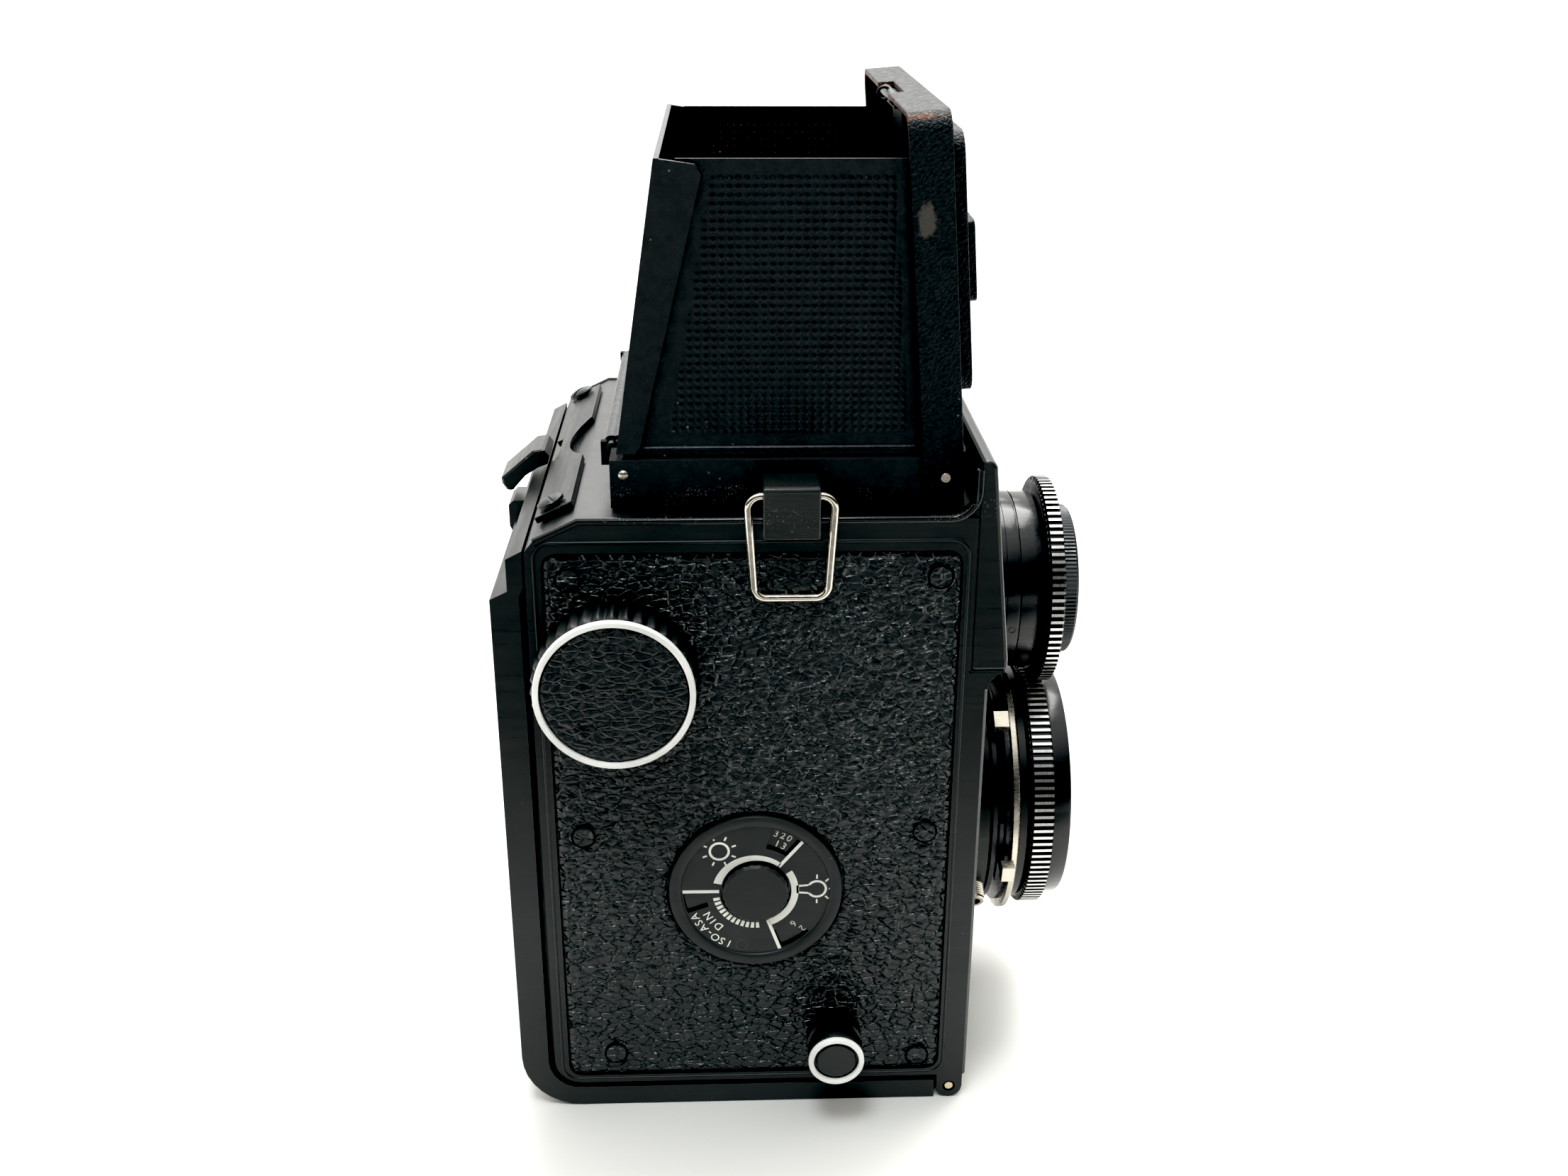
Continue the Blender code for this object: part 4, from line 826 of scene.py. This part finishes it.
def lid_eyelet():
    """Small wire loop of the lid's catch, at the middle of its top."""
    eyelet = tube([(0, y, z) for y, z in circle((0, 0), 0.95 * MM, 32)], 0.26 * MM, True)
    place("lid_eyelet", eyelet, UP, (1.0 * MM, -21.4 * MM, 162.3 * MM), GUNMETAL, "hood_lid",
          "painted_sheet")


lid_eyelet()

# ---------------------------------------------------------------- viewing lens
VIEWING_TEETH, TAKING_TEETH = 88, 110
MODULE = (VIEWING.z - TAKING.z) * 2 / (VIEWING_TEETH + TAKING_TEETH)


def groove(radius, place_at, width, depth):
    """Profile points of a square groove, from its upper edge down."""
    return [(radius, place_at + width / 2), (radius - depth, place_at + width / 2 - depth * 0.3),
            (radius - depth, place_at - width / 2 + depth * 0.3), (radius, place_at - width / 2)]


def viewing_barrel():
    """Finder barrel with two turned grooves and three set-screw dimples."""
    profile = [(14.9, 49.0), (15.2, 48.9), (15.4, 48.6)]
    profile += groove(15.4, 45.1, 0.28, 0.30) + [(15.5, 44.6)] + groove(15.5, 42.8, 0.16, 0.16)
    profile += [(15.5, 39.4), (15.5, 30.5), (18.0, 30.5), (18.0, 29.5), (12.0, 29.5), (12.0, 48.6),
                (12.4, 49.0)]
    bm = turned(profile, 160)
    place("viewing_barrel_turned", bm, FORWARD, VIEWING, DARK, "camera_body", "black_plastic",
          ["viewing_barrel"])
    ring = turned([(0.62, 15.62), (0.72, 15.35), (0.40, 15.35), (0.48, 15.62)], 28)
    for angle, forward in ((192, 43.9), (118, 41.0), (-62, 43.9)):
        direction = Vector((math.cos(math.radians(angle)), 0, math.sin(math.radians(angle))))
        copy = ring.copy()
        outward = direction.to_track_quat("Z", "Y").to_matrix()
        root = VIEWING + Vector((0, -forward * MM, 0))
        place("barrel_dimple_%d" % (angle % 360), copy, outward, root, MATT_GREY, "camera_body",
              "black_plastic")
    ring.free()


def focusing_ring(name, center, teeth, inner, low, high, phase, body, replaced):
    """Toothed ring with bright worn tooth tops between dark gaps."""
    pitch_radius = MODULE * teeth / 2
    tip, root = pitch_radius + 0.20 * MM, pitch_radius - 0.40 * MM
    teeth_ring = gear_outline(teeth, tip, root, phase, 0.38)
    count = len(teeth_ring)
    flange = [tuple(polar(root - 0.25 * MM, 360.0 * i / count + phase)) for i in range(count)]
    chamfer = 0.22 * MM
    levels = [(low, [tuple(0.985 * c for c in p) for p in flange]), (low + 0.18 * MM, flange),
              (low + 0.32 * MM, scaled(teeth_ring, -chamfer)), (low + 0.50 * MM, teeth_ring),
              (high - 0.18 * MM, teeth_ring), (high, scaled(teeth_ring, -chamfer))]
    bm = stacked(levels, inner, count)
    for face in bm.faces:
        reach = min(math.hypot(v.co.x, v.co.y) for v in face.verts)
        face.material_index = 1 if reach > tip - 0.05 * MM else 0
    place(name, bm, FORWARD, center, [GUNMETAL, BRIGHT], body, "gear_ring", replaced)


def viewing_cell():
    """Front cell with a finely knurled rim round the finder lens."""
    profile = [(9.8, 53.0, 0), (11.2, 55.1, 0), (11.9, 55.4, 0), (12.55, 55.38, 0), (12.95, 55.0, 1),
               (12.98, 54.2, 1), (12.98, 53.1, 1), (12.6, 52.85, 0), (12.95, 52.6, 0), (12.95, 49.5, 0),
               (9.8, 49.5, 0), (9.8, 53.0, 0)]
    bm = knurled(profile, 240, 0.14 * MM)
    place("viewing_front_cell_turned", bm, FORWARD, VIEWING, GUNMETAL, "viewing_focus", "gear_ring",
          ["viewing_front_cell"])


def element(name, center, rim, low, high, body, replaced, material):
    """Biconvex glass element between two heights."""
    middle_height, edge = (low + high) / 2, (high - low) * 0.2
    rise = (high - low) / 2 - edge
    steps = 10
    profile = [(rim * t / steps, middle_height + edge + rise * (1 - (t / steps) ** 2))
               for t in range(steps + 1)]
    profile += [(radius, 2 * middle_height - height) for radius, height in reversed(profile)]
    bm = lathe(profile, 96, closed=False)
    place(name, bm, FORWARD, center, material, body, "lens_glass", replaced)


viewing_barrel()
focusing_ring("viewing_gear_ring_cut", VIEWING, VIEWING_TEETH, 13.4 * MM, 49.3 * MM, 52.1 * MM,
              -90 + 180 / VIEWING_TEETH, "viewing_focus", ["viewing_gear_ring"])
viewing_cell()
element("viewing_lens_polished", VIEWING, 9.5 * MM, 49.9 * MM, 52.4 * MM, "viewing_focus",
        ["viewing_lens_front"], LENS)


# ---------------------------------------------------------------- taking lens
def taking_front():
    """Front cell with its stepped cone, outer rim and the bezel round the glass."""
    profile = [(10.2, 48.3), (10.2, 52.4), (11.0, 52.5), (11.2, 52.75), (14.4, 53.1), (14.6, 53.35),
               (16.6, 53.5), (18.0, 55.2), (18.4, 55.45), (20.0, 55.46), (20.55, 55.3), (20.75, 54.9),
               (20.75, 52.4), (18.5, 52.4), (18.5, 48.3)]
    bm = turned(profile, 160)
    place("taking_front_cell_turned", bm, FORWARD, TAKING, DARK, "taking_focus", "gear_ring",
          ["taking_front_cell"])
    bezel = turned([(10.1, 52.9), (10.9, 52.65), (10.9, 52.45), (9.95, 52.3)])
    place("taking_lens_bezel", bezel, FORWARD, TAKING, GUNMETAL, "taking_focus", "gear_ring")


def shutter():
    """Stepped shutter housing, and the milled speed ring that turns round it."""
    profile = [(21.3, 47.8), (21.5, 47.6), (21.5, 46.4), (21.3, 46.2), (17.7, 46.2), (17.7, 41.3),
               (21.6, 41.3), (22.0, 41.0), (22.0, 38.4), (21.7, 38.2), (21.7, 37.9), (22.0, 37.7),
               (22.0, 36.4), (14.7, 36.4), (14.7, 31.2), (10.0, 31.2), (10.0, 45.0), (10.5, 47.8)]
    bm = turned(profile, 160)
    place("shutter_housing_turned", bm, FORWARD, TAKING, BLACK, "camera_body", "black_plastic",
          ["shutter_housing"])
    steps = 240
    rim = [tuple(polar((23.5 if step % 2 else 23.38) * MM, 360.0 * step / steps)) for step in range(steps)]
    neck = scaled(rim, -1.5 * MM)
    levels = [(43.9 * MM, neck), (44.7 * MM, neck), (44.72 * MM, scaled(rim, -0.2 * MM)),
              (44.85 * MM, rim), (45.7 * MM, rim), (45.9 * MM, scaled(rim, -0.25 * MM))]
    speed = stacked(levels, 18.0 * MM, steps)
    for face in speed.faces:
        reach = max(math.hypot(v.co.x, v.co.y) for v in face.verts)
        face.material_index = 1 if reach > RING_EDGE else 0
    place("speed_ring_cut", speed, FORWARD, TAKING, [DARK, NICKEL], "speed_ring", "warm_metal",
          ["speed_ring"])


SOCKET_AXIS = Vector((-0.8713, 0, -0.4907))


def cable_socket():
    """Threaded socket for a shutter cable, low on the shutter's side."""
    low, high = corners_of("cable_release_socket")
    basis = SOCKET_AXIS.to_track_quat("Z", "Y").to_matrix()
    root = TAKING + Vector((0, (low.y + high.y) / 2, 0))
    outer, bore = 1.95, 1.2
    profile = [(bore, 25.2), (outer - 0.2, 25.2), (outer, 25.0)]
    height = 24.6
    while height > 22.4:
        profile += [(outer, height), (outer - 0.16, height - 0.15), (outer, height - 0.3)]
        height -= 0.42
    profile += [(outer, 18.3), (bore, 18.3), (bore, 25.2)]
    bm = turned(profile, 48, False)
    place("cable_socket_turned", bm, basis, root, NICKEL, "camera_body", "bright_metal",
          ["cable_release_socket"])


taking_front()
focusing_ring("taking_gear_ring_cut", TAKING, TAKING_TEETH, 18.8 * MM, 48.1 * MM, 52.1 * MM, 90,
              "taking_focus", ["taking_gear_ring"])
element("taking_lens_polished", TAKING, 9.9 * MM, 49.5 * MM, 52.3 * MM, "taking_focus",
        ["taking_lens_front"], LENS)
shutter()
cable_socket()


# ---------------------------------------------------------------- knobs
INSERT_RADIUS = 10.8 * MM


def advance_knob():
    """Ribbed winding knob with its white ring and its covered face."""
    teeth = 36
    outline = []
    for tooth in range(teeth):
        for offset, radius in ((0, 12.5), (1.6, 12.42), (4.2, 11.9), (5.8, 11.9), (8.4, 12.42)):
            outline.append(tuple(polar(radius * MM, (tooth + offset / 10) * 360 / teeth)))
    levels = [(39.9 * MM, scaled(outline, -0.5 * MM)), (40.2 * MM, outline), (46.3 * MM, outline),
              (46.9 * MM, scaled(outline, -0.45 * MM))]
    bm = stacked(levels, 2.3 * MM, len(outline))
    place("advance_knob_ribbed", bm, RIGHT, TAKE_UP, BLACK, "advance_knob", "black_plastic",
          ["advance_knob"])
    ring = turned([(11.3, 48.2), (11.85, 48.15), (12.0, 47.9), (12.0, 47.2), (11.1, 47.2), (11.1, 48.05)])
    place("advance_knob_ring_turned", ring, RIGHT, TAKE_UP, TRIM, "advance_knob", "white_trim",
          ["advance_knob_ring"])

    def shape(u, v):
        away = Vector((u, v))
        if away.length > INSERT_RADIUS + 0.14 * MM:
            return None
        if away.length > INSERT_RADIUS - 0.10 * MM:
            away = away.normalized() * INSERT_RADIUS
        return tuple(away)

    def height(u, v):
        away = math.hypot(u, v)
        lift = 0.65 * pebbles(u, v, 7.0) - 0.05 * MM
        angle = math.degrees(math.atan2(v, u))
        if -150 < angle < -30:
            lift += 0.10 * MM * math.exp(-((away - 8.2 * MM) / (0.22 * MM)) ** 2)
        return lift - 0.12 * MM * math.exp(-((INSERT_RADIUS - away) / (0.3 * MM)) ** 2)

    span = (-10.9 * MM, 10.9 * MM)
    insert = relief(span, span, 0.22 * MM, shape, height, -0.7 * MM)
    place("advance_knob_leather", insert, RIGHT, TAKE_UP + Vector((-47.9 * MM, 0, 0)), KNOB_LEATHER,
          "advance_knob", "leatherette", ["advance_knob_insert"])


def spool_knob():
    """Knurled spool release knob with its waist, pin and white ring."""
    profile = [(0, 47.85, 0), (3.0, 47.85, 0), (3.3, 47.6, 0), (3.3, 47.2, 0), (4.3, 47.2, 0),
               (4.55, 46.95, 1), (4.55, 44.45, 1), (4.2, 44.2, 0), (4.15, 43.3, 0), (4.55, 43.1, 1),
               (4.55, 40.0, 1), (4.3, 39.75, 0), (2.0, 39.7, 0), (2.0, 31.4, 0), (0, 31.4, 0)]
    bm = knurled(profile, 96, 0.16 * MM)
    place("spool_knob_knurled", bm, RIGHT, SUPPLY, BLACK, "spool_knob", "black_plastic", ["spool_knob"])
    ring = turned([(3.85, 48.2), (4.4, 48.15), (4.55, 47.95), (4.55, 47.5), (3.7, 47.5), (3.7, 48.1)], 96)
    place("spool_knob_ring_turned", ring, RIGHT, SUPPLY, TRIM, "spool_knob", "white_trim",
          ["spool_knob_ring"])


advance_knob()
spool_knob()

# ---------------------------------------------------------------- film-speed reminder dial
FACE_HEIGHT = 39.2 * MM
WINDOWS = ((51, 78), (182, 200), (-69, -42))
FILM_SPEEDS = (320, 16, 22, 32, 45, 65, 90, 130, 180, 250)


def band(inner_start, inner_end, outer_start, outer_end, start, end, steps=36):
    """Arc whose width may change from one end to the other."""
    outer, inner = [], []
    for step in range(steps + 1):
        share = step / steps
        angle = start + (end - start) * share
        outer.append(tuple(polar((outer_start + (outer_end - outer_start) * share) * MM, angle)))
        inner.append(tuple(polar((inner_start + (inner_end - inner_start) * share) * MM, angle)))
    return outer + inner[::-1]


def ray(center, inner, outer, angle, width):
    """Short bar pointing away from a centre."""
    along = polar(1.0, angle)
    side = Vector((-along.y, along.x)) * width / 2
    center = Vector(center)
    corners = (center + along * inner + side, center + along * inner - side,
               center + along * outer - side, center + along * outer + side)
    return [tuple(corner) for corner in corners]


def lettering(words, height, radius, angle, lift):
    """Letters one by one along an arc, tops outward, centred on an angle."""
    advance = math.degrees(0.68 * height / radius)
    parts = []
    for number, letter in enumerate(words):
        turn = angle - (number - (len(words) - 1) / 2) * advance
        spot = polar(radius, turn)
        parts.append((text_mesh(letter, height, 0.045 * MM), turn - 90, (spot.x, spot.y, lift)))
    return parts


def dial():
    """Film-speed reminder: printed face with windows over a disc of numbers, bezel and knurled hub."""
    face = DIAL + Vector((-FACE_HEIGHT, 0, 0))
    rings = [circle((0, 0), 14.1 * MM, 128), circle((0, 0), 5.7 * MM, 64)]
    for start, end in WINDOWS:
        window = points_on_arc((0, 0), 11.7 * MM, start, end, 10)
        window += points_on_arc((0, 0), 8.1 * MM, end, start, 8)
        rings.append(window)
    plate = slab(rings, -0.5 * MM, -0.12 * MM)
    place("film_dial_face", plate, RIGHT, face, PRINTED, "camera_body", "dial_print", ["film_dial_plate"])
    bezel = turned([(13.4, 0.28), (13.9, 0.2), (14.1, -0.1), (14.1, -0.5), (11.95, -0.2), (12.05, 0.1),
                    (12.3, 0.28)], 160)
    place("film_dial_bezel", bezel, RIGHT, face, PRINTED, "camera_body", "dial_print")

    ink_low, ink_high = -0.13 * MM, -0.085 * MM
    crescents = [band(5.66, 5.86, 7.0, 6.6, 166, 51), band(5.8, 5.8, 6.95, 6.95, 33, -69)]
    lines = [ray((0, 0), 5.9 * MM, 11.8 * MM, angle, 0.55 * MM) for angle in (179.5, 50.5, -70.5)]
    blocks = [band(5.95, 5.95, 7.0, 7.0, 190 + number * 7.3, 190 + number * 7.3 + 4.6, 3)
              for number in range(12)]
    shapes = [[ring] for ring in crescents + lines + blocks]

    sun = (-5.8 * MM, 7.6 * MM)
    shapes.append([circle(sun, 1.70 * MM, 40), circle(sun, 1.32 * MM, 40)])
    shapes += [[ray(sun, 2.15 * MM, 2.85 * MM, 22 + number * 45, 0.28 * MM)] for number in range(8)]

    bulb_x, bulb_y = bulb = (9.9 * MM, 0.25 * MM)
    shapes.append([points_on_arc(bulb, 1.65 * MM, -152, 152, 30)
                   + points_on_arc(bulb, 1.28 * MM, 146, -146, 30)])
    neck, base_far, base_near, half_line = 0.75 * MM, bulb_x - 3.3 * MM, bulb_x - 2.9 * MM, 0.16 * MM
    for y in (-neck, neck):
        far, near = (bulb_x - 3.1 * MM, bulb_y + y * 0.8), (bulb_x - 1.35 * MM, bulb_y + y)
        shapes.append([[(far[0], far[1] - half_line), (near[0], near[1] - half_line),
                        (near[0], near[1] + half_line), (far[0], far[1] + half_line)]])
    shapes.append([[(base_far, bulb_y - neck), (base_near, bulb_y - neck),
                    (base_near, bulb_y + neck), (base_far, bulb_y + neck)]])
    for angle in (-90, -45, 0, 45, 90):
        shapes.append([ray(bulb, 1.95 * MM, (2.7 if angle else 2.5) * MM, angle, 0.26 * MM)])
    parts = [(slab(rings, ink_low, ink_high), 0, (0, 0, 0)) for rings in shapes]
    ink = (ink_low + ink_high) / 2
    parts += lettering("ISO-ASA", 1.9 * MM, 10.9 * MM, 226, ink)
    parts += lettering("DIN", 1.9 * MM, 8.9 * MM, 219, ink)
    place("film_dial_print", merged(parts), RIGHT, face, WHITE, "camera_body", "dial_print")

    dimple = (-2.3 * MM, -10.3 * MM)
    ring = slab([circle(dimple, 1.0 * MM, 32), circle(dimple, 0.88 * MM, 32)], ink_low, -0.09 * MM)
    place("film_dial_dimple", ring, RIGHT, face, MATT_GREY, "camera_body", "dial_print")

    speeds = []
    for number, speed in enumerate(FILM_SPEEDS):
        angle = 66 - number * 36
        speeds += lettering(str(speed), 1.7 * MM, 10.8 * MM, angle, 0)
        speeds += lettering(str(13 + number), 1.7 * MM, 9.1 * MM, angle - 2, 0)
    place("film_dial_figures", merged(speeds), RIGHT, DIAL + Vector((-38.42 * MM, 0, 0)), WHITE, "film_dial",
          "dial_print")

    grip = [tuple(polar((5.35 if step % 3 else 5.22) * MM, step * 5)) for step in range(72)]
    levels = [(38.7 * MM, grip), (39.8 * MM, grip), (40.2 * MM, scaled(grip, -0.35 * MM))]
    bm = stacked(levels, 0.05 * MM, len(grip))
    stem = rod_between((0, 0, 36.9 * MM), (0, 0, 38.9 * MM), 2.0 * MM, 32)
    place("film_dial_hub_turned", joined(bm, stem), RIGHT, DIAL, PRINTED, "film_dial", "black_plastic",
          ["film_dial_hub"])


dial()


# ---------------------------------------------------------------- strap loops
def strap_loop(side):
    """Wire loop with rounded corners, tarnished to brass in patches."""
    pivot = Vector(joint_at["strap_%s_swing" % side])
    top_half, bottom_half, drop, bend = 6.35 * MM, 5.6 * MM, 16.0 * MM, 2.0 * MM
    points = points_on_arc((top_half - bend, -bend), bend, 90, 0, 12)
    points += points_on_arc((bottom_half - bend, -drop + bend), bend, 0, -90, 12)
    points += [(-y, z) for y, z in reversed(points)]
    wire = tube([(0, y, z) for y, z in points], 0.62 * MM, True)
    place("strap_ring_" + side + "_wire", wire, UP, pivot, WIRE, "strap_ring_" + side,
          "warm_metal", ["strap_ring_" + side])


strap_loop("right")
strap_loop("left")


# ---------------------------------------------------------------- top plate screws and rivets
SLOPE_TOP, SLOPE_FOOT = (0.0258, 0.1063), (0.0324, 0.1031)      # the plate's slope, as y and z
SCREW_DOWN = 0.0042                                             # the screws' distance from its top


def plate_screw(side, turn):
    """Round headed screw with a slot turned by some degrees."""
    low, high = corners_of("plate_screw_" + side)
    slope = math.atan2(SLOPE_FOOT[1] - SLOPE_TOP[1], SLOPE_FOOT[0] - SLOPE_TOP[0])
    seat = Vector(((low.x + high.x) / 2, SLOPE_TOP[0] + SCREW_DOWN * math.cos(slope),
                   SLOPE_TOP[1] + SCREW_DOWN * math.sin(slope)))
    basis = Matrix.Rotation(slope, 3, "X")
    profile = [(0, 2.6), (0.7, 2.58), (1.3, 2.5), (1.8, 2.34), (2.1, 2.15), (2.2, 1.95), (2.2, 1.66),
               (2.1, 1.6), (1.0, 1.6), (1.0, -3.0), (0, -3.0)]
    bm = turned(profile, 48, False)
    screw = place("plate_screw_" + side + "_slotted", bm, basis, seat, BLACK, "camera_body", "spring_steel",
                  ["plate_screw_" + side])
    cut = bmesh.new()
    bmesh.ops.create_cube(cut, size=1.0)
    bmesh.ops.scale(cut, vec=(6 * MM, 0.55 * MM, 1.2 * MM), verts=cut.verts)
    mesh = bpy.data.meshes.new("slot")
    cut.to_mesh(mesh)
    cut.free()
    turned_basis = basis @ Matrix.Rotation(math.radians(turn), 3, "Z")
    mesh.transform(Matrix.Translation(seat + basis @ Vector((0, 0, 2.7 * MM))) @ turned_basis.to_4x4())
    tool = added("slot", mesh)
    boolean = screw.modifiers.new("slot", "BOOLEAN")
    boolean.object = tool
    boolean.solver = "EXACT"
    cut_mesh = evaluated(screw)
    screw.modifiers.clear()
    screw.data = cut_mesh
    smooth(cut_mesh, 30)
    bpy.data.objects.remove(tool, do_unlink=True)


plate_screw("right", 20)
plate_screw("left", -35)


def rivet(side, sign):
    """Domed rivet head on the side of the hood's base."""
    spot = (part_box("hood_base")[1][0] * sign, 19.0 * MM, 111.7 * MM)
    profile = [(0, 0.35), (0.3375, 0.30), (0.6, 0.16), (0.75, 0.0), (0.75, -0.3), (0, -0.3)]
    bm = turned(profile, 32, False)
    place("hood_rivet_rear_" + side, bm, RIGHT if sign < 0 else ACROSS, spot, NICKEL, "camera_body",
          "warm_metal")


for side_name, side_sign in SIDES:
    rivet(side_name, side_sign)

# ---------------------------------------------------------------- magnifier
magnifier = frame["nodes"]["magnifier_lens"]
magnifier.data.materials.clear()
magnifier.data.materials.append(MAGNIFYING)
smooth(magnifier.data, 40)

# ---------------------------------------------------------------- floor, light and camera
floor_mesh = bpy.data.meshes.new("floor")
floor_bm = bmesh.new()
bmesh.ops.create_grid(floor_bm, x_segments=1, y_segments=1, size=6.0)
floor_bm.to_mesh(floor_mesh)
floor_bm.free()
floor = added("floor", floor_mesh)
PAPER = (0.86, 0.855, 0.82)
floor_look = Surface("floor", PAPER, 0.55)
paper = floor_look.ramp(floor_look.noise(3, 2.0), [(0.3, PAPER), (0.8, (0.88, 0.875, 0.845))])
# Beside the camera the sheet lights the object less than it looks, as if studio flags stood there.
mirrored = floor_look.node("VectorMath", {0: floor_look.space}, operation="ABSOLUTE")[0]
patch_space = floor_look.stretched((5.0, 3.0, 0.0), (-1.55, 0.0, 0.0), mirrored)
away = floor_look.node("VectorMath", {0: patch_space}, operation="LENGTH")["Value"]
seen = floor_look.node("LightPath")["Is Camera Ray"]
flagged = floor_look.product(floor_look.span(away, 1.0, 0.0, 0.70, 1.10), floor_look.span(seen, 1.0, 0.0))
floor_look.paint(floor_look.mix(flagged, paper, (0.10, 0.10, 0.10)))
floor_mesh.materials.append(floor_look.material)
floor.location.z = cad_low[2] - 0.05 * MM

world = bpy.data.worlds.new("studio")
bpy.context.scene.world = world
world.use_nodes = True
sky = world.node_tree
direction = wired(sky, "TexCoord")["Generated"]
BRIGHTEST = Vector((0.50, 0.10, 0.85)).normalized()
toward = wired(sky, "VectorMath", {0: direction, 1: BRIGHTEST}, operation="DOT_PRODUCT")["Value"]
fade = wired(sky, "MapRange", {"Value": toward, "From Min": 0.05, "From Max": 0.70, "To Min": 0.03,
                               "To Max": 1.7}, interpolation_type="SMOOTHSTEP")["Result"]
sky.nodes["Background"].inputs["Color"].default_value = (1.0, 0.99, 0.96, 1.0)
# Seen directly, the studio wall is as pale as the floor.
strength = wired(sky, "Mix", {0: wired(sky, "LightPath")["Is Camera Ray"], 2: fade, 3: 0.93})[0]
sky.links.new(strength, sky.nodes["Background"].inputs["Strength"])
look = bpy.context.scene.view_settings
look.view_transform = "Standard"
look.use_curve_mapping = True
look.curve_mapping.black_level = (0.0190, 0.0168, 0.0156)
look.curve_mapping.update()


def soft_light(name, place_at, target, width, power, color=(1, 1, 1)):
    data = bpy.data.lights.new(name, "AREA")
    data.shape = "SQUARE"
    data.size = width
    data.energy = power
    data.color = color
    lamp = added(name, data)
    lamp.location = place_at
    lamp.rotation_euler = (Vector(target) - Vector(place_at)).to_track_quat("-Z", "Y").to_euler()


soft_light("key", (0.40, -0.15, 0.95), (0.05, 0, 0.0), 0.6, 14.0, (1.0, 0.99, 0.97))
soft_light("front", (-0.34, 0.10, 0.80), (0, 0, 0.07), 0.20, 2.4, (0.90, 0.97, 1.0))
soft_light("back", (2.40, 0.2, 1.50), (2.6, 0, 0.0), 1.6, 40.0, (1.0, 0.99, 0.97))

# The photograph's camera: where it stands and the directions of its right and forward.
PHOTO_POSITION = (-0.259, 0.0043, 0.1879)
PHOTO_FOCAL, SENSOR = 36.81, 36.0                   # mm
photo_right = Vector((-0.0383, -0.9993, 0.0048))
photo_forward = Vector((0.9212, -0.0372, -0.3871))
photo_up = photo_right.cross(photo_forward)
lens_data = bpy.data.cameras.new("photo_camera")
lens_data.sensor_width = SENSOR
lens_data.lens = PHOTO_FOCAL
lens_data.clip_start = 0.01
lens_data.clip_end = 50.0
photo_camera = added("photo_camera", lens_data)
axes = Matrix((photo_right, photo_up, -photo_forward)).transposed()
photo_camera.matrix_world = Matrix.Translation(PHOTO_POSITION) @ axes.to_4x4()
bpy.context.scene.camera = photo_camera
